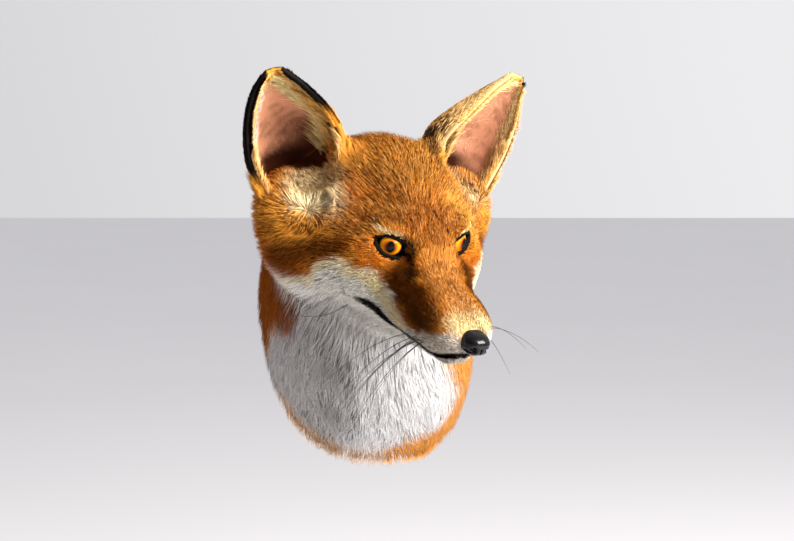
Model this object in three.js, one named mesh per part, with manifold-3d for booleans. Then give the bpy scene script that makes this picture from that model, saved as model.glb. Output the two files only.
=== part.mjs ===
// A red fox's head and neck, mounted to hang on a wall. Millimetres, +Z up. The wall is the plane y = 0
// behind the backboard, the fox looks out along -Y, and its left side is at +X. Every outline includes
// the coat.
import * as THREE from "three";
import { mergeVertices } from "three/addons/utils/BufferGeometryUtils.js";
import Module from "manifold-3d";

const wasm = await Module();
wasm.setup();

// ---------------------------------------------------------------- driving dimensions
const DEGREE = Math.PI / 180;
const GAP = 0.35; // between neighbouring pieces
const EAR_GAP = 1; // between an ear and the head

// The head is turned and lowered about the point midway between the eyes.
const EYES_AT = [35, -132, 60];
const HEAD_YAW = 31 * DEGREE; // towards the fox's left
const HEAD_PITCH = 25 * DEGREE; // nose down
const HEAD_ROLL = 0 * DEGREE;

const EYE_SPAN = 48; // between the middles of the eyes
const EYE_RADIUS = 8;
const EYE_DEPTH = 7; // from the front of the eye to its centre
const GAZE_OUT = 30 * DEGREE;
const GAZE_UP = 5 * DEGREE;
const LID_SLANT = [17, -14, 6]; // from the inner corner of the lids to the outer, as side, ahead and up
const LID_OPENING = [11.5, 7, 6]; // half length, half height, half depth

// An ear's two free edges, from the root to the tip, as side, ahead and up from the middle of the eyes.
const EAR_INNER_EDGE = [[32, -58, 12], [34, -57, 37], [46, -57, 55], [62, -62, 68], [77, -66, 77.5]];
const EAR_OUTER_EDGE = [[76, -61, 4], [86, -66, 22], [90.5, -68.5, 42], [90, -69.5, 61], [86, -67.5, 74]];
const EAR_CURL = [102, 94, 82, 64, 40]; // degrees to each side of the back of the ear
const EAR_THICK = 6.5; // at the middle of the root
const EAR_THINNING = 0.35; // share lost at the tip, and at the free edges

const NECK_SIDE = 67; // half widths at the wall
const NECK_RISE = 84;
const NECK_MIDDLE = [-4, -8];
const NECK_LENGTH = 118; // from the wall to the end that is lost in the head
const NECK_CLIMB = [12, 56]; // how far the neck's middle shifts sideways and up over that length
const NECK_LEAN = -0.15; // how far it shifts sideways for each millimetre up
const NECK_SQUARENESS = 2.4;

const BOARD_SIDE = 46;
const BOARD_RISE = 62;
const BOARD_THICK = 12;
const BOARD_BACK_SETBACK = 1; // the coat stops this far short of the wall

// The pocket is deeper between its two ledges, where the head of a wall screw goes in under the hanger.
const POCKET = { wide: 52, tall: 24, ledge: 2.6, inner: 30, deep: 7, middle: 32 };
const HANGER = { wide: 46, tall: 8, thick: 1, out: 1.25, teeth: 7, toothed: 24, tooth: 2.2, middle: 36 };
const BRAD = { apart: 38, out: 0.3, head: 2, thick: 0.6, shank: 0.8, end: 9 };

// Where the body is cut into pieces: a point of the head, and the direction that the cut faces.
const NECK_CUT = { at: [0, -15, -58], faces: [0, 0.78, 0.62] };
const MOUTH_CUT = { at: [0, 51, -41], faces: [0, 0, 1] };
const LIP_CUT = { at: [0, 51, -41], faces: [0, -0.5, 0.87] }; // the mouth line rises towards the nose
const MUZZLE_CUT = { at: [0, 14, 0], faces: [0, 1, 0] };
const JAW_CUT = { at: [0, -16, 0], faces: [0, 1, 0] };

// Mesh spacings.
const FACE_CELL = 5.2;
const SKULL_CELL = 9.6;
const NECK_CELL = 12.8;
const TRIMMER_CELL = 7;
const NOSE_CELL = 2.2;
const EYE_SEGMENTS = [18, 10];
const OVAL_SEGMENTS = 16;
const PIN_SEGMENTS = 8;
const EAR_SEGMENTS = [9, 10]; // from root to tip, and from edge to edge

// ---------------------------------------------------------------- the head's own axes
// Points on the head are given as side (the fox's left is positive), ahead (towards the nose) and up.
const onHead = (side, ahead, up) => new THREE.Vector3(side, -ahead, up);

const headGroup = new THREE.Group();
headGroup.position.set(...EYES_AT);
headGroup.rotation.set(HEAD_PITCH, HEAD_ROLL, HEAD_YAW, "ZXY");
headGroup.updateMatrix();
const headToWall = headGroup.matrix.clone();
const wallToHead = headToWall.clone().invert();

// ---------------------------------------------------------------- rounded forms as distance fields
// Each form returns about how far a point is outside it. Negative is inside.
function egg(centre, radii) {
  const [rx, ry, rz] = [radii[0], radii[1], radii[2]];
  const c = onHead(...centre);
  return (p) => {
    const x = (p.x - c.x) / rx;
    const y = (p.y - c.y) / ry;
    const z = (p.z - c.z) / rz;
    const reach = Math.hypot(x, y, z);
    const slope = Math.hypot(x / rx, y / ry, z / rz);
    return slope < 1e-9 ? -Math.min(rx, ry, rz) : (reach * (reach - 1)) / slope;
  };
}

// A bar with round ends whose radius changes evenly from one end to the other.
function taperedBar(from, to, fromRadius, toRadius, flatten = 1) {
  const a = onHead(...from);
  const along = onHead(...to).sub(a);
  const lengthSquared = along.lengthSq();
  return (p) => {
    const x = p.x - a.x;
    const y = p.y - a.y;
    const z = p.z - a.z;
    const t = THREE.MathUtils.clamp((x * along.x + y * along.y + z * along.z) / lengthSquared, 0, 1);
    const r = fromRadius + (toRadius - fromRadius) * t;
    return Math.hypot((x - along.x * t) / flatten, y - along.y * t, z - along.z * t) - r;
  };
}

function softMin(a, b, reach) {
  const h = Math.max(reach - Math.abs(a - b), 0) / reach;
  return Math.min(a, b) - (h * h * reach) / 4;
}

const mirrored = ([side, ahead, up]) => [-side, ahead, up];
const bothSides = (centre, radii) => [egg(centre, radii), egg(mirrored(centre), radii)];

const barsBothSides = (from, to, ...radii) => [
  taperedBar(from, to, ...radii),
  taperedBar(mirrored(from), mirrored(to), ...radii),
];

// [blend reach, forms], from the skull outwards. Centres and radii are side, ahead, up.
const HEAD_FORMS = [
  [18, [egg([0, -56, 0], [46, 46, 40])]], // cranium
  [16, [egg([0, -18, -3], [28, 30, 20])]], // forehead
  [14, [taperedBar([0, 0, -15], [0, 55, -25.5], 16.5, 10.6, 1.2)]], // bridge of the muzzle
  [8, bothSides([9.5, 34, -26.5], [13.5, 27, 13.5])], // whisker pads
  [10, bothSides([15.5, 6, -31], [13.5, 28, 12.5])], // upper lips
  [14, bothSides([15, -6, -15], [14, 22, 14])], // under the eyes
  [7, bothSides([17, -11, 9], [12, 14, 7])], // brows
  [16, bothSides([27, -32, -19], [26, 34, 26])], // cheek muscles
  [20, bothSides([40, -58, -20], [36, 32, 36])], // ruff behind the cheeks
  [14, bothSides([52, -61, -4], [28, 25, 22])], // ear mounds
  [9, bothSides([31, -61, 22], [14, 14, 17])], // thick fur at the ears' inner roots
  [8, barsBothSides([13, -28, -44], [2.5, 50, -39.8], 15, 7.6)], // lower jaw
];
const NECK_BLEND = 26;

function headField(p) {
  let d = Infinity;
  for (const [reach, forms] of HEAD_FORMS) {
    const nearest = Math.min(...forms.map((form) => form(p)));
    d = d === Infinity ? nearest : softMin(d, nearest, reach);
  }
  return d;
}

// The neck rises from the wall as an upright, slightly square oval and closes to a dome inside the head.
const BEHIND_WALL = 12; // spare length that is cut off flat later
const wallPoint = new THREE.Vector3();
function neckField(p) {
  wallPoint.copy(p).applyMatrix4(headToWall);
  const out = -wallPoint.y / NECK_LENGTH;
  const up = wallPoint.z - NECK_MIDDLE[1] - NECK_CLIMB[1] * out;
  const side = wallPoint.x - NECK_MIDDLE[0] - NECK_CLIMB[0] * out - NECK_LEAN * up;
  const share = [side / NECK_SIDE, up / NECK_RISE, Math.max(out, 0)];
  const reach = share.reduce((sum, x) => sum + Math.abs(x) ** NECK_SQUARENESS, 0) ** (1 / NECK_SQUARENESS);
  return Math.max((reach - 1) * NECK_SIDE, wallPoint.y - BEHIND_WALL);
}

// [blend reach, forms] that are hollowed out of the head.
const HOLLOWS = [
  [5, bothSides([EYE_SPAN / 2 + 4, 5, 0], [13, 8, 9])], // round the eyes
  [9, bothSides([53, -58, 22], [14, 13, 13])], // in front of the ears' roots
];
function bodyField(p) {
  let d = softMin(headField(p), neckField(p), NECK_BLEND);
  for (const [reach, forms] of HOLLOWS) {
    const nearest = Math.min(...forms.map((form) => form(p)));
    d = -softMin(-d, nearest, reach);
  }
  return d;
}

// ---------------------------------------------------------------- a closed mesh of where a field is zero
// Grid lines from low to high whose spacing grows from fine, inside the fine range, to coarse outside it.
function gridLines(low, high, fineLow, fineHigh, fine, coarse) {
  const lines = [low];
  while (lines.at(-1) < high) {
    const at = lines.at(-1);
    const away = Math.max(fineLow - at, at - fineHigh, 0);
    lines.push(at + THREE.MathUtils.lerp(fine, coarse, Math.min(1, away / 20)));
  }
  return lines;
}

const evenLines = (low, high, cell) => gridLines(low, high, 0, 0, cell, cell);

// Surface nets: one vertex in each grid cell that the surface crosses, one quad round each crossed grid edge.
function meshOfField(field, xs, ys, zs) {
  const [nx, ny, nz] = [xs.length, ys.length, zs.length];
  const index = (i, j, k) => (i * ny + j) * nz + k;
  const value = new Float64Array(nx * ny * nz);
  const p = new THREE.Vector3();
  for (let i = 0; i < nx; i++)
    for (let j = 0; j < ny; j++)
      for (let k = 0; k < nz; k++) value[index(i, j, k)] = field(p.set(xs[i], ys[j], zs[k]));

  const corners = [];
  for (let c = 0; c < 8; c++) corners.push([c & 1, (c >> 1) & 1, (c >> 2) & 1]);
  const edges = [];
  for (let a = 0; a < 8; a++)
    for (const bit of [1, 2, 4]) if (!(a & bit)) edges.push([a, a | bit]);

  const vertexOf = new Map();
  const positions = [];
  for (let i = 0; i < nx - 1; i++)
    for (let j = 0; j < ny - 1; j++)
      for (let k = 0; k < nz - 1; k++) {
        const v = corners.map(([x, y, z]) => value[index(i + x, j + y, k + z)]);
        if (v.every((x) => x < 0) || v.every((x) => x >= 0)) continue;
        const sum = new THREE.Vector3();
        let crossed = 0;
        for (const [a, b] of edges) {
          if (v[a] < 0 === v[b] < 0) continue;
          const t = v[a] / (v[a] - v[b]);
          const [from, to] = [corners[a], corners[b]];
          sum.x += THREE.MathUtils.lerp(xs[i + from[0]], xs[i + to[0]], t);
          sum.y += THREE.MathUtils.lerp(ys[j + from[1]], ys[j + to[1]], t);
          sum.z += THREE.MathUtils.lerp(zs[k + from[2]], zs[k + to[2]], t);
          crossed++;
        }
        vertexOf.set(index(i, j, k), positions.length / 3);
        positions.push(...settled(field, sum.divideScalar(crossed)).toArray());
      }

  const faces = [];
  const quad = (a, b, c, d, turned) => {
    const ring = [a, b, c, d].map((key) => vertexOf.get(key));
    if (turned) ring.reverse();
    faces.push(ring[0], ring[1], ring[2], ring[0], ring[2], ring[3]);
  };
  for (let i = 1; i < nx - 1; i++)
    for (let j = 1; j < ny - 1; j++)
      for (let k = 1; k < nz - 1; k++) {
        const here = value[index(i, j, k)] < 0;
        if (here !== value[index(i + 1, j, k)] < 0)
          quad(index(i, j - 1, k - 1), index(i, j, k - 1), index(i, j, k), index(i, j - 1, k), !here);
        if (here !== value[index(i, j + 1, k)] < 0)
          quad(index(i - 1, j, k - 1), index(i - 1, j, k), index(i, j, k), index(i, j, k - 1), !here);
        if (here !== value[index(i, j, k + 1)] < 0)
          quad(index(i - 1, j - 1, k), index(i, j - 1, k), index(i, j, k), index(i - 1, j, k), !here);
      }
  return new THREE.BufferGeometry()
    .setAttribute("position", new THREE.Float32BufferAttribute(positions, 3))
    .setIndex(faces);
}

// Moves a point onto the surface, by at most a few millimetres.
function settled(field, p) {
  const STEP = 0.5;
  const q = new THREE.Vector3();
  for (let pass = 0; pass < 2; pass++) {
    const here = field(p);
    const slope = new THREE.Vector3();
    for (const axis of ["x", "y", "z"]) {
      q.copy(p)[axis] += STEP;
      slope[axis] = (field(q) - here) / STEP;
    }
    const steepness = Math.max(slope.lengthSq(), 0.25);
    p.addScaledVector(slope, -THREE.MathUtils.clamp(here / steepness, -2, 2));
  }
  return p;
}

// ---------------------------------------------------------------- joining and cutting closed meshes
function toSolid(geometry, matrix) {
  const bare = new THREE.BufferGeometry();
  bare.setAttribute("position", geometry.getAttribute("position").clone());
  if (geometry.index) bare.setIndex(geometry.index);
  if (matrix) bare.applyMatrix4(matrix);
  const merged = mergeVertices(bare, 1e-4);
  const vertProperties = merged.attributes.position.array;
  const triVerts = new Uint32Array(merged.index.array);
  return new wasm.Manifold(new wasm.Mesh({ numProp: 3, vertProperties, triVerts }));
}

function toGeometry(solid) {
  const mesh = solid.getMesh();
  const geometry = new THREE.BufferGeometry();
  geometry.setAttribute("position", new THREE.BufferAttribute(mesh.vertProperties, 3));
  geometry.setIndex(new THREE.BufferAttribute(mesh.triVerts, 1));
  geometry.computeVertexNormals();
  return geometry;
}

// The same solid with every vertex moved outwards along its normal, as the tool that leaves a gap round it.
function grown(solid, by) {
  const geometry = toGeometry(solid);
  const { position, normal } = geometry.attributes;
  for (let i = 0; i < position.count; i++)
    position.setXYZ(
      i,
      position.getX(i) + normal.getX(i) * by,
      position.getY(i) + normal.getY(i) * by,
      position.getZ(i) + normal.getZ(i) * by,
    );
  return toSolid(geometry);
}

const largest = (solid) => solid.decompose().sort((a, b) => b.volume() - a.volume())[0];

// A cut is a point of the head and the direction that the cut faces. Each cut gives two big blocks, one on
// either side of the flat face that lies `by` further along that direction.
const SPAN = 600;
function block(cut, by, side) {
  const direction = onHead(...cut.faces).normalize();
  const centre = onHead(...cut.at).addScaledVector(direction, by + (side * SPAN) / 2);
  const turn = new THREE.Quaternion().setFromUnitVectors(new THREE.Vector3(0, 0, 1), direction);
  const matrix = new THREE.Matrix4().compose(centre, turn, new THREE.Vector3(1, 1, 1));
  return toSolid(new THREE.BoxGeometry(SPAN, SPAN, SPAN), matrix);
}
const behind = (cut, by = 0) => block(cut, by, -1);
const beyond = (cut, by = 0) => block(cut, by, 1);

// ---------------------------------------------------------------- backboard and hanger
// Outlines are drawn on X and Y, then stood up so that their depth runs from the wall towards -Y.
const upright = (out, z = 0) => new THREE.Matrix4().makeRotationX(Math.PI / 2).setPosition(0, -out, z);
const plate = (outline, depth, out, z) =>
  toSolid(
    new THREE.ExtrudeGeometry(outline, { depth, bevelEnabled: false, curveSegments: OVAL_SEGMENTS }),
    upright(out, z),
  );
const oval = (grow) =>
  new THREE.Shape().absellipse(0, 0, BOARD_SIDE + grow, BOARD_RISE + grow, 0, 2 * Math.PI, false, 0);
const slot = (wide, deep, tall, z) =>
  toSolid(new THREE.BoxGeometry(wide, 2 * deep, tall), new THREE.Matrix4().makeTranslation(0, 0, z));

// A round pin lying along Y, given from the wall outwards as [radius, distance out] pairs.
function pin(profile, x) {
  const outline = profile.map(([radius, out]) => new THREE.Vector2(radius, out));
  const matrix = new THREE.Matrix4().makeRotationX(Math.PI).setPosition(x, 0, HANGER.middle);
  return toSolid(new THREE.LatheGeometry(outline, PIN_SEGMENTS), matrix);
}

// A flat steel strip with a row of teeth along its lower edge.
function hangerOutline() {
  const { wide, tall, teeth, toothed, tooth } = HANGER;
  const outline = new THREE.Shape().moveTo(-wide / 2, tall / 2).lineTo(-wide / 2, -tall / 2);
  for (let i = 0; i < teeth; i++) {
    const x = -toothed / 2 + (toothed * i) / teeth;
    outline.lineTo(x, -tall / 2).lineTo(x + toothed / teeth / 2, -tall / 2 + tooth);
  }
  outline.lineTo(toothed / 2, -tall / 2).lineTo(wide / 2, -tall / 2).lineTo(wide / 2, tall / 2).closePath();
  return outline;
}

const bradHole = (x, from, to, radius) => pin([[0, from], [radius, from], [radius, to], [0, to]], x);
const BRADS_AT = [-BRAD.apart / 2, BRAD.apart / 2];
let backboard = plate(oval(0), BOARD_THICK, 0)
  .subtract(slot(POCKET.wide, POCKET.ledge, POCKET.tall, POCKET.middle))
  .subtract(slot(POCKET.inner, POCKET.deep, POCKET.tall, POCKET.middle));
let hanger = plate(hangerOutline(), HANGER.thick, HANGER.out, HANGER.middle);
const brads = BRADS_AT.map((x) => {
  hanger = hanger.subtract(bradHole(x, -1, BOARD_THICK, BRAD.shank + GAP));
  backboard = backboard.subtract(bradHole(x, 0, BRAD.end + GAP, BRAD.shank + GAP));
  const { out, head, thick, shank, end } = BRAD;
  const under = out + thick;
  return pin([[0, out], [head, out], [head, under], [shank, under], [shank, end - 1], [0, end]], x);
});
const boardSeat = plate(oval(GAP), 2 * BOARD_THICK + GAP, -BOARD_THICK);

// ---------------------------------------------------------------- flesh
// The neck meets the head along a flat cut, and each side of the cut is meshed as finely as it needs.
const pastNeckCut = new THREE.Plane().setFromNormalAndCoplanarPoint(
  onHead(...NECK_CUT.faces).normalize(),
  onHead(...NECK_CUT.at),
);
const SPARE = 12; // how far each mesh runs on past the cut before it is trimmed
let face = toSolid(
  meshOfField(
    (p) => Math.max(bodyField(p), -SPARE - pastNeckCut.distanceToPoint(p)),
    gridLines(-102, 102, -34, 34, FACE_CELL, SKULL_CELL),
    gridLines(-84, 150, -84, 6, FACE_CELL, SKULL_CELL),
    gridLines(-120, 70, -50, 14, FACE_CELL, SKULL_CELL),
  ),
).intersect(beyond(NECK_CUT, GAP));

const wallFace = toSolid(
  new THREE.BoxGeometry(SPAN, SPAN, SPAN),
  new THREE.Matrix4().makeTranslation(0, SPAN / 2 - BOARD_BACK_SETBACK, 0).premultiply(wallToHead),
);
const neck = toSolid(
  meshOfField(
    (p) => Math.max(bodyField(p), pastNeckCut.distanceToPoint(p) - SPARE),
    evenLines(-120, 136, NECK_CELL),
    evenLines(-44, 210, NECK_CELL),
    evenLines(-240, 84, NECK_CELL),
  ),
)
  .intersect(behind(NECK_CUT))
  .subtract(wallFace)
  .subtract(boardSeat.transform(wallToHead.elements));

// ---------------------------------------------------------------- glass eyes
const ball = (radius, centre) =>
  toSolid(
    new THREE.SphereGeometry(radius, ...EYE_SEGMENTS),
    new THREE.Matrix4().makeTranslation(...centre.toArray()),
  );

const eyes = [-1, 1].map((side) => {
  const middle = onHead((side * EYE_SPAN) / 2, 0, 0);
  const gaze = onHead(side * Math.sin(GAZE_OUT), Math.cos(GAZE_OUT), Math.sin(GAZE_UP)).normalize();
  const centre = middle.clone().addScaledVector(gaze, -EYE_DEPTH);
  const slant = onHead(side * LID_SLANT[0], LID_SLANT[1], LID_SLANT[2]).normalize();
  const upwards = new THREE.Vector3().crossVectors(slant, gaze).normalize();
  const onwards = new THREE.Vector3().crossVectors(slant, upwards);
  const opening = new THREE.Matrix4()
    .makeBasis(slant, upwards, onwards)
    .scale(new THREE.Vector3(...LID_OPENING))
    .setPosition(middle);
  face = face
    .subtract(ball(EYE_RADIUS + GAP, centre))
    .subtract(toSolid(new THREE.SphereGeometry(1, ...EYE_SEGMENTS), opening));
  return ball(EYE_RADIUS, centre);
});

// ---------------------------------------------------------------- nose leather
const nosePad = egg([0, 65, -24.6], [7.5, 8.6, 6.1]);
const nostrils = bothSides([4.8, 73, -26], [1.9, 3, 1.6]);
const NOSTRIL_BLEND = 1.5;
function noseField(p) {
  const nearest = Math.min(...nostrils.map((nostril) => nostril(p)));
  return -softMin(-nosePad(p), nearest, NOSTRIL_BLEND);
}
const nose = toSolid(
  meshOfField(
    noseField,
    evenLines(-12, 12, NOSE_CELL),
    evenLines(-80, -52, NOSE_CELL),
    evenLines(-33, -14, NOSE_CELL),
  ),
);
face = face.subtract(grown(nose, GAP));

// ---------------------------------------------------------------- ears
// A leaf between two free edges, each cross-section an arc that bulges backwards.
function earGeometry(side) {
  const place = ([x, ahead, up]) => onHead(side * x, ahead, up);
  const inner = new THREE.CatmullRomCurve3(EAR_INNER_EDGE.map(place));
  const outer = new THREE.CatmullRomCurve3(EAR_OUTER_EDGE.map(place));
  const [ROWS, COLUMNS] = [EAR_SEGMENTS[0] + 1, EAR_SEGMENTS[1]];
  const root = place(EAR_INNER_EDGE[0]).lerp(place(EAR_OUTER_EDGE[0]), 0.5);
  const axis = place(EAR_INNER_EDGE.at(-1)).sub(root).normalize();
  const curlAt = (t) => {
    const step = t * (EAR_CURL.length - 1);
    const i = Math.min(Math.floor(step), EAR_CURL.length - 2);
    return THREE.MathUtils.lerp(EAR_CURL[i], EAR_CURL[i + 1], step - i) * DEGREE;
  };
  const point = (t, s, lift) => {
    const from = inner.getPoint(t);
    const to = outer.getPoint(t);
    const middle = from.clone().lerp(to, 0.5);
    const chord = to.clone().sub(from);
    const half = chord.length() / 2;
    chord.addScaledVector(axis, -chord.dot(axis) * 0.5).normalize();
    const back = new THREE.Vector3().crossVectors(axis, chord).normalize();
    if (back.y < 0) back.negate();
    const curl = curlAt(t);
    const radius = half / Math.sin(Math.min(curl, Math.PI - curl));
    return middle
      .addScaledVector(chord, (radius + lift) * Math.sin(s * curl))
      .addScaledVector(back, (radius + lift) * Math.cos(s * curl) - radius * Math.cos(curl));
  };
  const positions = [];
  const faces = [];
  for (const back of [0, 1])
    for (let i = 0; i < ROWS; i++)
      for (let j = 0; j <= COLUMNS; j++) {
        const t = i / (ROWS - 1);
        const s = -1 + (2 * j) / COLUMNS;
        const thick = EAR_THICK * (1 - EAR_THINNING * t) * (1 - EAR_THINNING * s * s);
        positions.push(...point(t, s, (back - 0.5) * thick).toArray());
      }
  const turned = side < 0;
  const at = (back, i, j) => (back * ROWS + i) * (COLUMNS + 1) + j;
  const quad = (a, b, c, d) => (turned ? faces.push(a, c, b, a, d, c) : faces.push(a, b, c, a, c, d));
  for (let i = 0; i < ROWS - 1; i++)
    for (let j = 0; j < COLUMNS; j++) {
      quad(at(0, i, j), at(0, i, j + 1), at(0, i + 1, j + 1), at(0, i + 1, j));
      quad(at(1, i, j), at(1, i + 1, j), at(1, i + 1, j + 1), at(1, i, j + 1));
    }
  for (let i = 0; i < ROWS - 1; i++) {
    quad(at(0, i, 0), at(0, i + 1, 0), at(1, i + 1, 0), at(1, i, 0));
    quad(at(0, i, COLUMNS), at(1, i, COLUMNS), at(1, i + 1, COLUMNS), at(0, i + 1, COLUMNS));
  }
  for (let j = 0; j < COLUMNS; j++) {
    quad(at(0, 0, j), at(1, 0, j), at(1, 0, j + 1), at(0, 0, j + 1));
    quad(at(0, ROWS - 1, j), at(0, ROWS - 1, j + 1), at(1, ROWS - 1, j + 1), at(1, ROWS - 1, j));
  }
  return new THREE.BufferGeometry()
    .setAttribute("position", new THREE.Float32BufferAttribute(positions, 3))
    .setIndex(faces);
}

const earTrimmer = toSolid(
  meshOfField(
    (p) => Math.max(bodyField(p) - EAR_GAP, -2 * SPARE - p.z),
    evenLines(-110, 120, TRIMMER_CELL),
    evenLines(-90, 170, TRIMMER_CELL),
    evenLines(-40, 70, TRIMMER_CELL),
  ),
);
const ears = [-1, 1].map((side) => largest(toSolid(earGeometry(side)).subtract(earTrimmer)));

// ---------------------------------------------------------------- the body parted into named pieces
const belowMouth = (by) => behind(MOUTH_CUT, by).add(behind(LIP_CUT, by));

const muzzle = face.intersect(beyond(MUZZLE_CUT)).subtract(belowMouth(GAP));
const lowerJaw = face.intersect(beyond(JAW_CUT)).intersect(belowMouth(0));
const head = face
  .subtract(beyond(MUZZLE_CUT, -GAP))
  .subtract(beyond(JAW_CUT, -GAP).intersect(belowMouth(GAP)));

const coat = (color) => new THREE.MeshStandardMaterial({ color, roughness: 0.9 });
function addSolid(parent, name, solid, material) {
  const mesh = new THREE.Mesh(toGeometry(largest(solid)), material);
  mesh.name = name;
  parent.add(mesh);
}

const fox = new THREE.Group();
fox.add(headGroup);
addSolid(headGroup, "head", head, coat("#b9702f"));
addSolid(headGroup, "muzzle", muzzle, coat("#a05f2a"));
addSolid(headGroup, "lower_jaw", lowerJaw, coat("#cfc8bd"));
addSolid(headGroup, "neck", neck, coat("#e2dfdc"));
addSolid(headGroup, "ear_right", ears[0], coat("#d9a04c"));
addSolid(headGroup, "ear_left", ears[1], coat("#d9a04c"));
addSolid(headGroup, "nose", nose, new THREE.MeshStandardMaterial({ color: "#141418", roughness: 0.3 }));
const glass = new THREE.MeshStandardMaterial({ color: "#c8741a", roughness: 0.08 });
addSolid(headGroup, "eye_right", eyes[0], glass);
addSolid(headGroup, "eye_left", eyes[1], glass);
const plywood = new THREE.MeshStandardMaterial({ color: "#c9a66b", roughness: 0.75 });
addSolid(fox, "backboard", backboard, plywood);
const steel = new THREE.MeshStandardMaterial({ color: "#a9adb2", roughness: 0.35, metalness: 1 });
addSolid(fox, "hanger", hanger, steel);
addSolid(fox, "brad_right", brads[0], steel);
addSolid(fox, "brad_left", brads[1], steel);

export default fox;
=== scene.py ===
"""A wall-mounted red fox head: one skin under a coat of locks, glass eyes, nose, whiskers and backboard.

Shapes are worked out in the head's own millimetres: side (the fox's left is positive), ahead (towards
the nose) and up, from the point midway between the eyes. Row millimetres are the frame's, times 1000.
"""

import math

import bpy
import numpy as np
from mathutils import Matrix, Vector
from mathutils.bvhtree import BVHTree


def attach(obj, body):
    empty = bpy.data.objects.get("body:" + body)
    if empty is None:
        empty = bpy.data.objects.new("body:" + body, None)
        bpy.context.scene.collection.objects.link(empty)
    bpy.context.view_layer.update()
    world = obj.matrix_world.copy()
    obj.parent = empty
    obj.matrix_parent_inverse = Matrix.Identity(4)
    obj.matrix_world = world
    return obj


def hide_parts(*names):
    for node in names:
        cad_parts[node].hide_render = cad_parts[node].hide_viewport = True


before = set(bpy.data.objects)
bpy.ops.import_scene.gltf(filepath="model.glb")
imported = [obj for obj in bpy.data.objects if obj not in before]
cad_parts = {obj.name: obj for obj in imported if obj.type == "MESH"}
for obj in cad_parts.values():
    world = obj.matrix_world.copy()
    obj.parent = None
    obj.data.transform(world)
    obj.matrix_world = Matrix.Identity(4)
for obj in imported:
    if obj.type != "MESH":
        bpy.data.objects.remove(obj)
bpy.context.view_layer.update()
rng = np.random.default_rng(1903)

# ---------------- the head's place, as in the solids
EYES_AT = np.array([35.0, -132.0, 60.0])
HEAD_YAW = math.radians(31)
HEAD_PITCH = math.radians(25)
COS_YAW, SIN_YAW = math.cos(HEAD_YAW), math.sin(HEAD_YAW)
COS_PITCH, SIN_PITCH = math.cos(HEAD_PITCH), math.sin(HEAD_PITCH)
HEAD_AXES = np.array(
    [
        [COS_YAW, SIN_YAW, 0],
        [SIN_YAW * COS_PITCH, -COS_YAW * COS_PITCH, -SIN_PITCH],
        [SIN_YAW * SIN_PITCH, -COS_YAW * SIN_PITCH, COS_PITCH],
    ]
)
MM = 0.001


def to_row(p):
    return EYES_AT + p @ HEAD_AXES


def turned_to_head(direction):
    return direction @ HEAD_AXES.T


def to_head(p):
    return turned_to_head(p - EYES_AT)


def folded(p):
    """The same places on the fox's left side, for what is alike on both sides."""
    return np.column_stack([np.abs(p[:, 0]), p[:, 1], p[:, 2]])


def norm(v):
    return np.linalg.norm(v, axis=-1)


def unit(v):
    return v / np.maximum(norm(v)[..., None], 1e-9)


def smooth(x, start, end):
    """0 at start to 1 at end, eased; start may be the larger."""
    t = np.clip((x - start) / (end - start), 0, 1)
    return t * t * (3 - 2 * t)


def dot(a, b):
    return np.einsum("...i,...i->...", a, np.broadcast_to(b, a.shape))


# ---------------- rounded forms as distance fields
def egg(p, centre, radii):
    q = (p - centre) / radii
    reach = norm(q)
    return reach * (reach - 1) / np.maximum(norm(q / radii), 1e-6)


def tapered_bar(p, start, end, start_radius, end_radius, flatten=1.0):
    along = np.subtract(end, start)
    away = p - start
    t = np.clip(away @ along / (along @ along), 0, 1)
    away = away - t[:, None] * along
    radius = start_radius + (end_radius - start_radius) * t
    return norm(away / [flatten, 1, 1]) - radius


def soft_min(a, b, reach):
    h = np.maximum(reach - np.abs(a - b), 0) / reach
    return np.minimum(a, b) - h * h * reach / 4


def carved(a, tool, reach):
    """Field a with the tool's form taken out of it."""
    return -soft_min(-a, tool, reach)


# [blend reach, form, its sizes], from the skull outwards.
HEAD_FORMS = [
    (18, egg, ([0, -56, 0], [46, 46, 40])),  # cranium
    (16, egg, ([0, -18, -3], [28, 30, 20])),  # forehead
    (14, tapered_bar, ([0, 0, -15], [0, 55, -25.5], 16.5, 10.6, 1.2)),  # bridge of the muzzle
    (8, egg, ([9.5, 34, -26.5], [13.5, 27, 13.5])),  # whisker pads
    (10, egg, ([15.5, 6, -31], [13.5, 28, 12.5])),  # upper lips
    (14, egg, ([15, -6, -15], [14, 22, 14])),  # under the eyes
    (7, egg, ([17, -11, 9], [12, 14, 7])),  # brows
    (16, egg, ([27, -32, -19], [26, 34, 26])),  # cheek muscles
    (20, egg, ([40, -58, -20], [36, 32, 36])),  # ruff behind the cheeks
    (14, egg, ([52, -61, -4], [28, 25, 22])),  # ear mounds
    (9, egg, ([31, -61, 22], [14, 14, 17])),  # thick fur at the ears' inner roots
    (8, tapered_bar, ([13, -28, -44], [2.5, 50, -39.8], 15, 7.6)),  # lower jaw
]
HOLLOWS = [
    (5, ([28, 5, 0], [13, 8, 9])),  # round the eyes
    (9, ([53, -58, 22], [14, 13, 13])),  # in front of the ears' roots
]
EAR_CAVITY = np.array([[52.0, -66, 27], [19, 18, 17]])
NECK_BLEND = 26
NECK_SIDE, NECK_RISE, NECK_LENGTH = 67, 84, 118
NECK_MIDDLE = (-4, -8)
NECK_CLIMB = (12, 56)
NECK_LEAN = -0.15
NECK_SQUARENESS = 2.4
NECKNESS_REACH = 16


def head_field(q):
    d = None
    for reach, form, sizes in HEAD_FORMS:
        nearest = form(q, *sizes)
        d = nearest if d is None else soft_min(d, nearest, reach)
    return d


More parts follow.
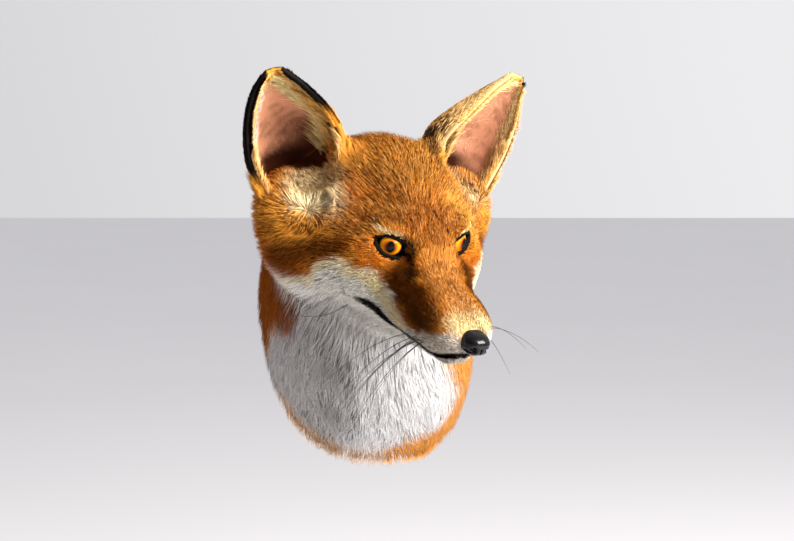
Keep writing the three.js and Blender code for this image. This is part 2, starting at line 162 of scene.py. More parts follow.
def neck_place(w):
    """Row places as shares of the neck's half width, half height and length."""
    out = -w[:, 1] / NECK_LENGTH
    up = w[:, 2] - NECK_MIDDLE[1] - NECK_CLIMB[1] * out
    side = w[:, 0] - NECK_MIDDLE[0] - NECK_CLIMB[0] * out - NECK_LEAN * up
    return side / NECK_SIDE, up / NECK_RISE, out


def neck_field(w):
    side, up, out = neck_place(w)
    n = NECK_SQUARENESS
    reach = (np.abs(side) ** n + np.abs(up) ** n + np.maximum(out, 0) ** n) ** (1 / n)
    return (reach - 1) * NECK_SIDE


def body_fields(p):
    """The outline out to the tips of the coat, and how far each place belongs to the neck, 0 to 1."""
    q = folded(p)
    head, neck = head_field(q), neck_field(to_row(p))
    d = soft_min(head, neck, NECK_BLEND)
    for reach, sizes in HOLLOWS:
        d = carved(d, egg(q, *sizes), reach)
    return d, smooth(head - neck, -NECKNESS_REACH, NECKNESS_REACH)


def body_field(p):
    return body_fields(p)[0]


SLOPE_STEP = 0.4


def slope_of(field, p):
    """A field's values at some places and the way in which it rises fastest."""
    here = field(p)
    steps = [field(p + np.eye(3)[axis] * SLOPE_STEP) - here for axis in range(3)]
    return here, np.column_stack(steps) / SLOPE_STEP


# ---------------- eyes, mouth and nose
EYE_SPAN, EYE_RADIUS, EYE_DEPTH = 48, 8.0, 7.0
GAZE_OUT, GAZE_UP = math.radians(30), math.radians(5)
LID_SLANT = unit(np.array([17.0, -14.0, 6.0]))  # from the inner corner of the lids to the outer
EYE_MIDDLE = np.array([EYE_SPAN / 2, 0, 0])
GAZE = unit(np.array([math.sin(GAZE_OUT), math.cos(GAZE_OUT), math.sin(GAZE_UP)]))
EYE_CENTRE = EYE_MIDDLE - EYE_DEPTH * GAZE
LID_UP = unit(np.cross(LID_SLANT, GAZE))
LID_UP = LID_UP * np.sign(LID_UP[2])
LID_THICK = 1.1
INNER_REACH, OUTER_REACH, LID_RISE = 12.0, 9.0, 4.7
# The opening goes in less deep at the inner corner: how deep, for each distance along the lids.
CORNER_ALONG, CORNER_OUT = [-12, -6], [-2.5, -6]


def lid_opening(q):
    """Negative inside the almond between the lids."""
    away = q - EYE_MIDDLE
    along, rise, out = dot(away, LID_SLANT), dot(away, LID_UP), dot(away, GAZE)
    reach = np.where(along < 0, INNER_REACH, OUTER_REACH)
    almond = (np.abs(rise) - LID_RISE * (1 - (along / reach) ** 2)) * 0.8
    return np.maximum(almond, np.interp(along, CORNER_ALONG, CORNER_OUT) - out)


# The line between the lips: its height for each distance ahead, from its corner to the front.
MOUTH_AHEAD = [-6, 6, 15, 26, 43, 51, 60, 68]
MOUTH_UP = [-32.5, -34, -37, -41, -45, -41.5, -36.5, -33]
LIP_GAP = 0.8
LIP_DEEP = 3.0


def above_mouth(q):
    return q[:, 2] - np.interp(q[:, 1], MOUTH_AHEAD, MOUTH_UP)


NOSE_PAD = np.array([[0, 65, -24.6], [7.5, 8.6, 6.1]])
NOSE_SQUARENESS = 2.7
NOSTRIL = np.array([[4.4, 73.2, -25.6], [1.8, 3.6, 1.8]])
NOSTRIL_SLIT = np.array([[7.4, 69.6, -27.4], [2.2, 3.8, 0.8]])
CLEFT_HALF, CLEFT_AHEAD = 0.3, 6


def nose_field(p):
    q = folded(p)
    share = np.abs((q - NOSE_PAD[0]) / NOSE_PAD[1]) ** NOSE_SQUARENESS
    pad = (share.sum(1) ** (1 / NOSE_SQUARENESS) - 1) * NOSE_PAD[1].min()
    pad = carved(pad, egg(q, *NOSTRIL), 1.2)
    pad = carved(pad, egg(q, *NOSTRIL_SLIT), 0.8)
    cleft = np.maximum(np.abs(p[:, 0]) - CLEFT_HALF, p[:, 2] - NOSE_PAD[0, 2])
    return carved(pad, np.maximum(cleft, NOSE_PAD[0, 1] + CLEFT_AHEAD - p[:, 1]), 0.9)


# ---------------- ears
EAR_INNER_EDGE = np.array([[32, -58, 12], [34, -57, 37], [46, -57, 55], [62, -62, 68], [77, -66, 77.5]])
EAR_OUTER_EDGE = np.array([[76, -61, 4], [86, -66, 22], [90.5, -68.5, 42], [90, -69.5, 61], [86, -67.5, 74]])
EAR_CURL = np.radians([102, 94, 82, 64, 40])
EAR_HALF_THICK = 1.5
EAR_BEYOND = 90  # millimetres for each unit of t, past the tip and below the root
EAR_STEPS = (71, 51)
EAR_LOWEST = -0.17  # how far below the root the ear's sheet goes on, into the head
INTO_HEAD = unit(np.array([-0.8, 0.4, -0.6]))


def along_curve(points, t):
    """A smooth curve through evenly spaced points, for t from 0 to 1."""
    ends = np.vstack([2 * points[0] - points[1], points, 2 * points[-1] - points[-2]])
    x = np.clip(t, 0, 1) * (len(points) - 1)
    i = np.minimum(x.astype(int), len(points) - 2)
    f = (x - i)[:, None]
    a, b, c, d = (ends[i + k] for k in range(4))
    curve = 2 * b + (c - a) * f + (2 * a - 5 * b + 4 * c - d) * f**2 + (3 * b - a - 3 * c + d) * f**3
    return curve / 2


EAR_ROOT = (EAR_INNER_EDGE[0] + EAR_OUTER_EDGE[0]) / 2
EAR_AXIS = unit(EAR_INNER_EDGE[-1] - EAR_ROOT)


def ear_place(t, s, lift):
    """A place on the left ear: t from root to tip, s from the inner edge (-1) to the outer (1), and how
    far behind its middle layer. Past the tip and the edges it runs straight on."""
    beyond_t, beyond_s = t - np.clip(t, 0, 1), s - np.clip(s, -1, 1)
    t, s = np.clip(t, 0, 1), np.clip(s, -1, 1)
    inner, outer = along_curve(EAR_INNER_EDGE, t), along_curve(EAR_OUTER_EDGE, t)
    chord = outer - inner
    half = norm(chord) / 2
    chord = unit(chord - 0.5 * EAR_AXIS * (chord @ EAR_AXIS)[:, None])
    back = unit(np.cross(EAR_AXIS, chord))
    back = back * -np.sign(back[:, 1:2])
    curl = np.interp(t, np.linspace(0, 1, len(EAR_CURL)), EAR_CURL)
    radius = half / np.sin(np.minimum(curl, math.pi - curl))
    angle = s * curl
    place = (inner + outer) / 2
    place = place + chord * ((radius + lift) * np.sin(angle))[:, None]
    place = place + back * ((radius + lift) * np.cos(angle) - radius * np.cos(curl))[:, None]
    tangent = chord * np.cos(angle)[:, None] - back * np.sin(angle)[:, None]
    for way, away in ((EAR_AXIS, beyond_t), (INTO_HEAD, -beyond_t)):
        place = place + way * (np.maximum(away, 0) * EAR_BEYOND)[:, None]
    return place + tangent * (beyond_s * half)[:, None]


def pairs_of(first, second):
    """Every pair of two lists' values, the second's changing fastest."""
    return (grid.ravel() for grid in np.meshgrid(first, second, indexing="ij"))


def ear_grid():
    steps_up, steps_across = EAR_STEPS
    places = ear_place(*pairs_of(np.linspace(EAR_LOWEST, 1, steps_up), np.linspace(-1, 1, steps_across)), 0)
    i, j = pairs_of(np.arange(steps_up - 1), np.arange(steps_across - 1))
    first = i * steps_across + j
    return places, np.column_stack([first, first + 1, first + steps_across + 1, first + steps_across])


EAR_PLACES, EAR_QUADS = ear_grid()
EAR_TREE = BVHTree.FromPolygons(EAR_PLACES.tolist(), EAR_QUADS.tolist())
EAR_BOX = EAR_PLACES.min(0), EAR_PLACES.max(0)
EAR_NEAR = 14.0


def ear_search(q):
    """Distance to the ear's middle layer, t and s of the nearest place on it, and how far behind it (0
    where the ear is far)."""
    low, high = EAR_BOX
    distance = norm(np.maximum(0, np.maximum(low - q, q - high)))
    t, s, behind = np.zeros((3, len(q)))
    for i in np.flatnonzero(distance < EAR_NEAR):
        nearest, normal, face, distance[i] = EAR_TREE.find_nearest(q[i])
        t[i], s[i] = divmod(face, EAR_STEPS[1] - 1)
        behind[i] = (Vector(q[i]) - nearest).dot(normal)
    t = EAR_LOWEST + (1 - EAR_LOWEST) * (t + 0.5) / (EAR_STEPS[0] - 1)
    s = (s + 0.5) / (EAR_STEPS[1] - 1) * 2 - 1
    return distance, t, s, behind


# ---------------- the skin, under the coat
# The coat's depth on the head, for each distance ahead.
DEPTH_AHEAD = [-90, -60, -35, -12, 8, 35, 60]
DEPTHS = [8, 7.5, 6, 4, 2.2, 1.5, 0.9]
NECK_DEPTH = 14
RUFF_RADII = [26, 28, 24]  # the ruff on each cheek, where the coat is thicker and longer
LID_BARE = 9  # how far from the middle of an eye the coat starts to thicken
CAVITY_BARE = 15  # the same from the middle of an ear's cavity
LIPS_FAR = 20  # stands for the distance where no lips are near
SKIN_OFF_WALL = 3.0
EYE_GAP = 0.05
CAVITY_OFF_EAR = 4  # how far the cavity keeps from the ear's middle layer
# How softly the lids, the eye's opening, the lips' line, the cavity and the ear run into the skin.
LID_BLEND, OPENING_BLEND, LIP_BLEND, CAVITY_BLEND, EAR_BLEND = 4, 0.9, 1.0, 3, 5


def coat_depth(p, neckness):
    """How thick the coat lies over the skin."""
    q = folded(p)
    depth = np.interp(p[:, 1], DEPTH_AHEAD, DEPTHS)
    depth = depth + 3.5 * smooth(egg(q, [42, -45, -30], RUFF_RADII), 8, -8)
    depth = depth + (NECK_DEPTH - depth) * neckness
    depth = np.minimum(depth, 0.8 + 0.3 * np.maximum(norm(q - EYE_MIDDLE) - LID_BARE, 0))
    depth = np.minimum(depth, 1.0 + 0.35 * np.maximum(norm(q - EAR_CAVITY[0]) - CAVITY_BARE, 0))
    lips = np.where((q[:, 1] > MOUTH_AHEAD[0]) & (neckness < 0.5), np.abs(above_mouth(q)), LIPS_FAR)
    return np.minimum(depth, 0.5 + 0.4 * lips)


def skin_field(p):
    q = folded(p)
    body, neckness = body_fields(p)
    d = body + coat_depth(p, neckness)
    ball = norm(q - EYE_CENTRE) - EYE_RADIUS
    d = soft_min(d, ball - LID_THICK, LID_BLEND)
    d = carved(d, lid_opening(q), OPENING_BLEND)
    d = np.maximum(d, -ball + EYE_GAP)
    lips = np.maximum(np.abs(above_mouth(q)) - LIP_GAP, MOUTH_AHEAD[0] - q[:, 1])
    d = carved(d, np.maximum(lips, -d - LIP_DEEP), LIP_BLEND)
    from_ear = ear_search(q)[0]
    d = carved(d, np.maximum(egg(q, *EAR_CAVITY), CAVITY_OFF_EAR - from_ear), CAVITY_BLEND)
    d = np.maximum(d, to_row(p)[:, 1] + SKIN_OFF_WALL)
    return soft_min(d, from_ear - EAR_HALF_THICK, EAR_BLEND)


# ---------------- a closed mesh of where a field is zero
WIDE_CELL = 3.0
CHUNK = 400_000  # places worked out at a time
COARSE = 4  # grid lines to each line of the coarse grid
STEEPEST, NEAR_SURFACE = 1.5, 2.5  # how fast a field rises at most, and how near counts as near


def graded_lines(low, high, bands):
    """Grid lines from low to high. Each band is (start, end, spacing); past the bands the lines are wide."""
    lines = [low]
    while lines[-1] < high:
        at = lines[-1]
        spacing = [cell for start, end, cell in bands if start <= at < end]
        lines.append(at + (spacing[0] if spacing else WIDE_CELL))
    return np.array(lines)


def in_chunks(field, p):
    return np.concatenate([field(p[i : i + CHUNK]) for i in range(0, len(p), CHUNK)])


def field_on_grid(field, lines):
    """The field on a grid: exact near the surface, and from the nearest coarse sample elsewhere."""
    picks = [np.unique(np.append(np.arange(0, len(line), COARSE), len(line) - 1)) for line in lines]
    coarse_places = np.stack(np.meshgrid(*[ln[k] for ln, k in zip(lines, picks)], indexing="ij"), -1)
    coarse = in_chunks(field, coarse_places.reshape(-1, 3)).reshape(coarse_places.shape[:3])
    nearest = [np.abs(ln[:, None] - ln[k][None, :]).argmin(1) for ln, k in zip(lines, picks)]
    gaps = [np.abs(ln - ln[k][near]) for ln, k, near in zip(lines, picks, nearest)]
    values = coarse[np.ix_(*nearest)]
    away = np.sqrt(gaps[0][:, None, None] ** 2 + gaps[1][None, :, None] ** 2 + gaps[2][None, None, :] ** 2)
    close = np.argwhere(np.abs(values) < STEEPEST * away + NEAR_SURFACE)
    places = np.column_stack([line[close[:, axis]] for axis, line in enumerate(lines)])
    values[tuple(close.T)] = in_chunks(field, places)
    return values


CORNERS = np.array([[c & 1, c >> 1 & 1, c >> 2 & 1] for c in range(8)])
CUBE_EDGES = [(a, a | bit) for a in range(8) for bit in (1, 2, 4) if not a & bit]


def field_mesh(field, lines, longest_move=1.0):
    """Surface nets: one vertex in each crossed cell, one quad round each crossed grid edge."""
    values = field_on_grid(field, lines)
    inside = values < 0
    size = np.array(values.shape) - 1
    full = sum(
        inside[i : i + size[0], j : j + size[1], k : k + size[2]].astype(np.uint8) for i, j, k in CORNERS
    )
    crossed = (full > 0) & (full < 8)
    cells = np.argwhere(crossed)
    number = np.full(crossed.shape, -1)
    number[crossed] = np.arange(len(cells))
    total, hits = np.zeros((len(cells), 3)), np.zeros(len(cells))
    for a, b in CUBE_EDGES:
        ends = [cells + CORNERS[a], cells + CORNERS[b]]
        va, vb = (values[tuple(end.T)] for end in ends)
        cut = (va < 0) != (vb < 0)
        t = np.where(cut, va / np.where(cut, va - vb, 1), 0)[:, None]
        pa, pb = (np.column_stack([line[end[:, k]] for k, line in enumerate(lines)]) for end in ends)
        total += cut[:, None] * (pa + (pb - pa) * t)
        hits += cut
    points = total / hits[:, None]
    for _ in range(2):
        here, slope = slope_of(field, points)
        move = -here / np.maximum(dot(slope, slope), 0.25)
        points = points + slope * np.clip(move, -longest_move, longest_move)[:, None]
    quads = []
    for axis in range(3):
        u, v = (axis + 1) % 3, (axis + 2) % 3
        low = inside.take(range(size[axis]), axis)
        high = inside.take(range(1, size[axis] + 1), axis)
        at = np.argwhere(low != high)
        at = at[(at[:, u] > 0) & (at[:, v] > 0) & (at[:, u] < size[u]) & (at[:, v] < size[v])]
        step_u, step_v = np.eye(3, dtype=int)[u], np.eye(3, dtype=int)[v]
        ring = [at - step_u - step_v, at - step_v, at, at - step_u]
        quad = np.column_stack([number[tuple(cell.T)] for cell in ring])
        outward = low[tuple(at.T)]
        quads.append(np.where(outward[:, None], quad, quad[:, ::-1]))
    return points, np.vstack(quads)


# ---------------- colours and markings
def linear(hex_colour):
    """An sRGB hex colour as linear red, green and blue."""
    values = np.array([int(hex_colour[i : i + 2], 16) / 255 for i in (1, 3, 5)])
    return np.where(values <= 0.04045, values / 12.92, ((values + 0.055) / 1.055) ** 2.4)


RUSSET = linear("#c67224")
DEEP_RUSSET = linear("#a8580f")
BROWN = linear("#5a2806")
PATCH = linear("#4a2304")
UMBER = linear("#2c1304")
GOLD = linear("#e6a03c")
ORANGE = linear("#e6a052")
# Rust red: used in a mark low on the cheeks, and on the fox's right side of the neck it is the orange
# painted darker as shade.
RUST_AND_SHADE = linear("#7e3e04")
TAN = linear("#d28e46")
CREAM = linear("#f6dba2")
WHITE = linear("#f6f5f6")
CHEEK_WHITE = linear("#efe9df")
LIP_GREY = linear("#cbc0b3")
# Smoky grey: the grey of some fur, and on the neck also painted shade.
SMOKE_AND_SHADE = linear("#8a8583")
WHORL = linear("#f6e2b4")
BLACK = linear("#120d0b")
EAR_CREAM = linear("#e6c48a")
EAR_PINK = linear("#c58a6c")
EAR_SHADE = linear("#2e1105")
LIP_BLACK = linear("#0e0a09")

WHORL_AT = np.array([61.0, -37, 8])  # where the coat parts in front of an ear
WAVES = rng.normal(size=(4, 10, 3))
PHASES = rng.uniform(0, 2 * math.pi, (4, 10))


def drift(p, size, kind=0):
    """Smooth wandering values about 0, whose patches are about `size` across."""
    return np.sin(p @ (WAVES[kind].T * 2.2 / size) + PHASES[kind]).sum(1) / 3.2


def blob(q, centre, radii, soft):
    """1 inside an ellipsoid, fading to 0 just outside it."""
    return smooth(norm((q - centre) / radii), 1 + soft, 1 - soft)


def streak(q, start, end, radius, end_radius, soft):
    """1 inside a tapered bar, fading to 0 just outside it."""
    return smooth(tapered_bar(q, start, end, radius, end_radius), soft, -soft)


def mix(colours, tone, share):
    return colours + (tone - colours) * share[:, None]


def marked(colours, q, marks, weight=1):
    """The colours with marks laid over them: each a tone, its share, and the sizes of a blob or streak."""
    for tone, share, *sizes in marks:
        colours = mix(colours, tone, share * weight * (blob if len(sizes) == 3 else streak)(q, *sizes))
    return colours


# The lower edge of the red of the face: its height for each distance ahead.
WHITE_EDGE_AHEAD = [-70, -53, -37, -27, -22, -15, -6, 0, 5, 10, 16, 22, 28, 34, 43, 51, 58]
WHITE_EDGE_UP = [-56, -51, -42, -35, -21, -16, -15, -15, -16, -18, -23, -27, -30, -33, -31, -27, -22]


GOLDEN_MARKS = [
    (GOLD, 0.8, [60, -50, -2], [26, 28, 22], 0.5),
    (GOLD, 0.6, [34, -58, 34], [14, 16, 18], 0.5),
]
WHORL_MARKS = [
    (WHORL, 0.95, [59, -42, 12], [19, 16, 14], 0.4),
    (WHORL, 0.9, [50, -57, 15], [17, 14, 12], 0.45),
    (SMOKE_AND_SHADE, 0.35, [50, -34, 14], [7, 5, 5], 0.5),
]
CHEEK_MARKS = [
    (BROWN, 0.85, [50, -17, -7], [71, -46, -31], 5.5, 8, 4),
    (BROWN, 0.55, [40, -14, 4], [56, -33, -4], 2.0, 3.0, 2.5),
    (RUST_AND_SHADE, 0.85, [66, -42, -38], [12, 18, 8], 0.5),
]
EYE_MARKS = [
    (CREAM, 0.9, [33, -8, 9.5], [21, 3, 8.5], 1.8, 1.4, 1.2),
    (UMBER, 0.9, [15.5, 6, 2], [21, -7, 18], 2.6, 1.0, 1.6),
    (UMBER, 0.8, [32, -10, 12], [41, -21, 11], 1.6, 0.8, 1.4),
    (UMBER, 0.9, [16, 8, -1], [19, 17, -8], 3.0, 3.0, 2.2),
    (LIP_BLACK, 0.95, [16, 7, -3], [12.5, 10.5, -6], 2.4, 1.5, 1.2),
    (BROWN, 0.7, [33, -6, -7], [44, -16, -9], 2.4, 1.6, 2.0),
]
MUZZLE_PATCHES = [([22, 21, -14], [11, 16, 13], 0.45), ([19, 36, -22], [9, 17, 11], 0.45)]
MOUTH_WIDENS = 2.8  # how much wider the dark of the mouth gets towards its corner


def head_marks(p):
    q = folded(p)
    side, ahead, up = q.T
    parted = 0.4 + 0.6 * smooth(p[:, 0], 5, -5)
    tone = mix(RUSSET, DEEP_RUSSET, 0.6 * smooth(drift(q, 9), -0.2, 1.0))
    tone = mix(tone, GOLD, 0.35 * smooth(drift(q, 12, 1), 0.0, 1.0))
    tone = marked(tone, q, GOLDEN_MARKS)
    tone = mix(tone, GOLD, 0.85 * blob(q, [32, -20, 10], [18, 26, 18], 0.5) * smooth(p[:, 0], -5, 5))
    tone = mix(tone, GOLD, 0.5 * blob(q, [0, -48, 40], [34, 34, 22], 0.5))
    brow = blob(q, [6, -18, 22], [26, 26, 18], 0.5)
    tone = mix(tone, BROWN, (0.2 + 0.35 * smooth(drift(q * [1, 0.35, 0.6], 5, 3), 0.0, 1.0)) * brow)
    tone = mix(tone, BROWN, 0.95 * streak(p, [27, -61, 43], [26, -44, 30], 6.0, 4.0, 2.5))
    tone = marked(tone, q, WHORL_MARKS, parted)
    tone = mix(tone, BROWN, 0.45 * blob(q, [70, -50, 8], [6, 6, 5], 0.5))
    tone = mix(tone, BROWN, 0.85 * parted * blob(q, WHORL_AT, [4, 4, 4], 0.6))
    tone = marked(tone, q, CHEEK_MARKS)
    # muzzle
    tone = mix(tone, TAN, smooth(ahead, 2, 22) * smooth(side, 16, 8))
    tone = mix(tone, BROWN, 0.35 * smooth(drift(q * [1, 0.35, 1], 3.5, 2), 0.0, 1.0) * smooth(ahead, -4, 14))
    tone = mix(tone, CREAM, 0.4 * smooth(drift(q, 3.5, 2), 0.1, 1.0) * smooth(ahead, 32, 50))
    patch = np.maximum(*[blob(q, *sizes) for sizes in MUZZLE_PATCHES])
    tone = mix(tone, PATCH, 0.95 * patch * smooth(drift(q * [1, 0.4, 1], 4, 3), -2.2, -0.6))
    tone = mix(tone, CREAM, 0.9 * blob(q, [6, 58, -17], [10, 9, 6], 0.5))
    tone = mix(tone, SMOKE_AND_SHADE, 0.3 * smooth(drift(q, 2.5, 3), 0.3, 1.0) * smooth(ahead, 44, 56))
    tone = marked(tone, q, EYE_MARKS)
    # white cheeks, lips, chin and throat
    edge = np.interp(ahead, WHITE_EDGE_AHEAD, WHITE_EDGE_UP) + 1.8 * drift(q, 7, 1) + 1.2 * drift(q, 3, 2)
    off_line = above_mouth(q)
    lip = smooth(ahead, 8, 24) * smooth(off_line, -1, 1) + smooth(ahead, 40, 50)
    pale = mix(CHEEK_WHITE, LIP_GREY, np.minimum(lip, 1))
    tone = mix(tone, pale, smooth(up - edge, 3.0, -3.0))
    tone = mix(tone, CREAM, 0.7 * smooth(np.abs(up - edge + 3), 6, 1) * smooth(ahead, 16, 4))
    tone = mix(tone, CREAM, 0.75 * streak(q, [35, 5, -22], [24, 27, -34], 4, 3, 3))
    at_back = smooth(ahead, 26, 10)
    wide = 1 + MOUTH_WIDENS * at_back * smooth(ahead, -6, 8)
    mouth = smooth(np.abs(off_line + 1.7 * at_back), 1.3 + wide, 0.8 * wide) * smooth(ahead, -6, 0)
    tone = mix(tone, LIP_BLACK, mouth)
    dots = smooth(drift(q, 1.7, 2), 0.5, 1.2) * blob(q, [15, 42, -36], [9, 12, 7], 0.4)
    return mix(tone, UMBER, 0.6 * dots)


# Grey patches on the bib, partly painted shadow in the gaps between locks and partly grey underfur: row
# place and size.
BIB_SHADOWS_AND_UNDERFUR = [([-9, -105, -1], 11), ([3, -107, -4], 12), ([-19, -80, -28], 13), ([-24, -49, -55], 12)]
TALL = np.array([1, 1, 0.6])  # makes a round smudge taller than wide
# Round the neck the orange of the back meets the white bib, at these angles from the top.
BIB_EDGE_RIGHT, BIB_EDGE_LEFT = math.radians(262), math.radians(137)


def neck_marks(w):
    side, up, out = neck_place(w)
    turn = np.mod(np.arctan2(side, up) + 0.05 * drift(w, 14, 3), 2 * math.pi)
    tall, drawn_out = w * TALL, w * [1, 1, 0.3]
    tone = WHITE
    # Grey patches: painted shadow between the locks, with some grey underfur.
    for centre, size in BIB_SHADOWS_AND_UNDERFUR:
        share = blob(tall, TALL * centre, size, 0.6)
        tone = mix(tone, SMOKE_AND_SHADE, 0.65 * share * smooth(drift(drawn_out, 4, 2), -0.6, 0.5))
    tone = mix(tone, SMOKE_AND_SHADE, 0.3 * smooth(drift(drawn_out, 5, 1), 0.35, 1.1))
    # The fox's right side of the neck painted grey as shade, on the side away from the light.
    tone = mix(tone, SMOKE_AND_SHADE, 0.7 * smooth(side, 0.0, -0.6))
    edge = BIB_EDGE_LEFT + 0.75 * smooth(w[:, 1], -42, -14)
    tone = mix(tone, ORANGE, smooth(turn, edge + 0.1, edge - 0.1))
    # On the fox's right side the orange darkens to rust: painted shade on the side away from the light.
    right_side_band = smooth(turn, BIB_EDGE_RIGHT - 0.1, BIB_EDGE_RIGHT + 0.06)
    tone = mix(mix(tone, ORANGE, right_side_band), RUST_AND_SHADE, right_side_band * smooth(turn, 2 * math.pi, 2 * math.pi - 1.0))
    # A rust patch behind the right cheek: the neck's orange painted darker as shade.
    tone = mix(tone, RUST_AND_SHADE, 0.95 * blob(w, [-57, -72, 14], [14, 30, 19], 0.25))
    return mix(tone, GOLD, 0.5 * smooth(w[:, 1], -14, -4) * smooth(w[:, 2], -40, -60))


def body_marks(p, neckness):
    q = folded(p)
    head, neck = head_marks(p), neck_marks(to_row(p))
    throat = smooth(q[:, 2], -38, -52) * smooth(q[:, 1], 0, -30)
    return mix(mix(head, WHITE, 0.5 * throat), neck, neckness)


def lifted_to_coat(p):
    """Places on the outline of the coat above (or under) the given ones."""
    here, slope = slope_of(body_field, p)
    return p - unit(slope) * np.clip(here, -20, 20)[:, None]


def ear_black(t, s, hand):
    """Where an ear's back is black: nearly all of it on the right, less along the edges of the left."""
    black = smooth(t - 0.12 - 0.42 * (1 - s) / 2, -0.08, 0.06)
    inner = smooth(s, -0.5, -0.3) * smooth(s, 0.9, 0.8)
    inner = np.maximum(inner, smooth(np.abs(s + 0.6), 0.2, 0.1) * smooth(t, 0.6, 0.7))
    return black * np.where(hand > 0, np.maximum(inner, smooth(t, 0.86, 0.9) * (s > 0.9)), 1)


UNDERCOAT = 0.6  # how much of the coat's brightness the skin has
EAR_ROOM = 1.45  # the size of the dark, bare hollow in each ear's root, for that of its cavity


def skin_marks(p):
    """The bare skin's colours: darker than the coat, black on lids and lips, pink in the ears."""
    q = folded(p)
    body, neckness = body_fields(p)
    tone = body_marks(lifted_to_coat(p), neckness) * UNDERCOAT
    distance, t, s, behind = ear_search(q)
    on_ear = smooth(distance, 3.5, 1.8)
    front = smooth(behind, 0.0, -0.3)
    pink = mix(EAR_PINK, EAR_SHADE, smooth(s, 0.35, -0.5) * smooth(t, 0.6, 0.2))
    pink = mix(pink, EAR_SHADE, 0.3 * smooth(drift(q, 6), 0, 1) + 0.15 * smooth(drift(q, 2.5, 1), 0, 1))
    pink = mix(pink, EAR_SHADE, smooth(t, 0.22, 0.1) * smooth(s, 0.8, 0.3))
    rim_tone = np.where(p[:, :1] > 0, EAR_CREAM * 0.7, GOLD * 0.7)
    pink = mix(pink, rim_tone, np.maximum(smooth(t, 0.86, 0.93), smooth(np.abs(s), 0.84, 0.9)))
    black = ear_black(t, s, p[:, 0])
    pink = mix(pink, BLACK, smooth(np.abs(s), 0.93, 0.96) * black)
    ear_tone = mix(mix(BLACK, rim_tone * 0.85, 1 - black), pink, front)
    tone = mix(tone, ear_tone, on_ear)
    deep = blob(q, EAR_CAVITY[0], EAR_CAVITY[1] * EAR_ROOM, 0.1) * smooth(q[:, 1], -54, -62)
    tone = mix(tone, EAR_SHADE, deep * (1 - on_ear * smooth(t, 0.03, 0.1) * front))
    lids = smooth(lid_opening(q), 3.4, 2.4) * smooth(dot(q - EYE_MIDDLE, GAZE), -9, -7)
    tone = mix(tone, BLACK * 0.5, lids)
    lips = smooth(np.abs(above_mouth(q)), 3.0, 2.0) * smooth(q[:, 1], -4, 3)
    return mix(tone, LIP_BLACK, lips * smooth(body, -6, -4) * smooth(neckness, 0.4, 0.1))


# ---------------- lie of the coat
# On the neck the coat falls, fanning out from a middle, and leans back to the wall.
FAN_MIDDLE, FAN_REACH, FAN_BACK = 8, 110, 0.42
EYE_WHIRL, COAT_WHORL = (19, 9), (20, 9)  # how far from an eye or a whorl's middle the hairs point away


def lie_of_coat(p, neckness):
    """Which way the coat lies, before it is laid on the skin."""
    q = folded(p)
    side, ahead, up = q.T
    sideways = 0.35 * smooth(side, 2, 22)
    down = 0.55 * smooth(up, 12, -14) * smooth(side, 14, 36) * smooth(ahead, 30, 5)
    flow = np.column_stack([sideways, -np.ones(len(q)), -down])
    from_eye, from_whorl = q - EYE_MIDDLE, q - WHORL_AT
    flow = flow + 1.5 * unit(from_eye) * smooth(norm(from_eye), *EYE_WHIRL)[:, None]
    spread = smooth(norm(from_whorl), *COAT_WHORL)[:, None]
    flow = flow * (1 - 0.9 * spread) + 1.6 * unit(from_whorl) * spread
    flow = flow * (np.sign(p[:, 0])[:, None] * [1, 0, 0] + [0, 1, 1])
    w = to_row(p)
    fan = np.column_stack([(w[:, 0] - FAN_MIDDLE) / FAN_REACH, np.full(len(w), FAN_BACK), -np.ones(len(w))])
    neck_flow = turned_to_head(unit(fan))
    return unit(flow) * (1 - neckness[:, None]) + neck_flow * neckness[:, None]


def wisps(p, neckness):
    """How neighbouring hairs lean together, in wisps that are finer on the face than on the neck."""
    fine = np.column_stack([drift(p, 4.5, kind) for kind in (0, 1, 2)])
    broad = np.column_stack([drift(p, 11, kind) for kind in (1, 2, 3)])
    share = neckness[:, None]
    return 0.09 * fine * (1 - share) + (0.13 * broad + 0.06 * fine) * share


# ---------------- meshes
def new_object(name, data):
    thing = bpy.data.objects.new(name, data)
    bpy.context.scene.collection.objects.link(thing)
    return thing


def new_piece(name, places, faces, material, tones=None, uvs=None):
    """A mesh from row millimetres. faces is one array; uvs is one place per face corner."""
    mesh = bpy.data.meshes.new(name)
    sides = faces.shape[1]
    mesh.vertices.add(len(places))
    mesh.vertices.foreach_set("co", (places * MM).astype(np.float32).ravel())
    mesh.loops.add(faces.size)
    mesh.loops.foreach_set("vertex_index", faces.astype(np.int32).ravel())
    mesh.polygons.add(len(faces))
    mesh.polygons.foreach_set("loop_start", np.arange(0, faces.size, sides, dtype=np.int32))
    mesh.polygons.foreach_set("loop_total", np.full(len(faces), sides, np.int32))
    mesh.polygons.foreach_set("use_smooth", np.full(len(faces), True))
    if tones is not None:
        layer = mesh.color_attributes.new("tone", "FLOAT_COLOR", "POINT")
        opaque = np.column_stack([tones, np.ones(len(tones))])
        layer.data.foreach_set("color", opaque.astype(np.float32).ravel())
    if uvs is not None:
        layer = mesh.uv_layers.new(name="OFBake")
        layer.data.foreach_set("uv", uvs.astype(np.float32).ravel())
    mesh.update(calc_edges=True)
    mesh.validate()
    mesh.materials.append(material)
    return new_object(name, mesh)


def turned_outwards(places, faces):
    """The faces, reversed if the closed mesh they make is inside out."""
    a, b, c = places[faces[:, 0]], places[faces[:, 1]], places[faces[:, 2]]
    volume = dot(a, np.cross(b, c)).sum()
    if faces.shape[1] == 4:
        volume += dot(a, np.cross(c, places[faces[:, 3]])).sum()
    return faces if volume > 0 else faces[:, ::-1]


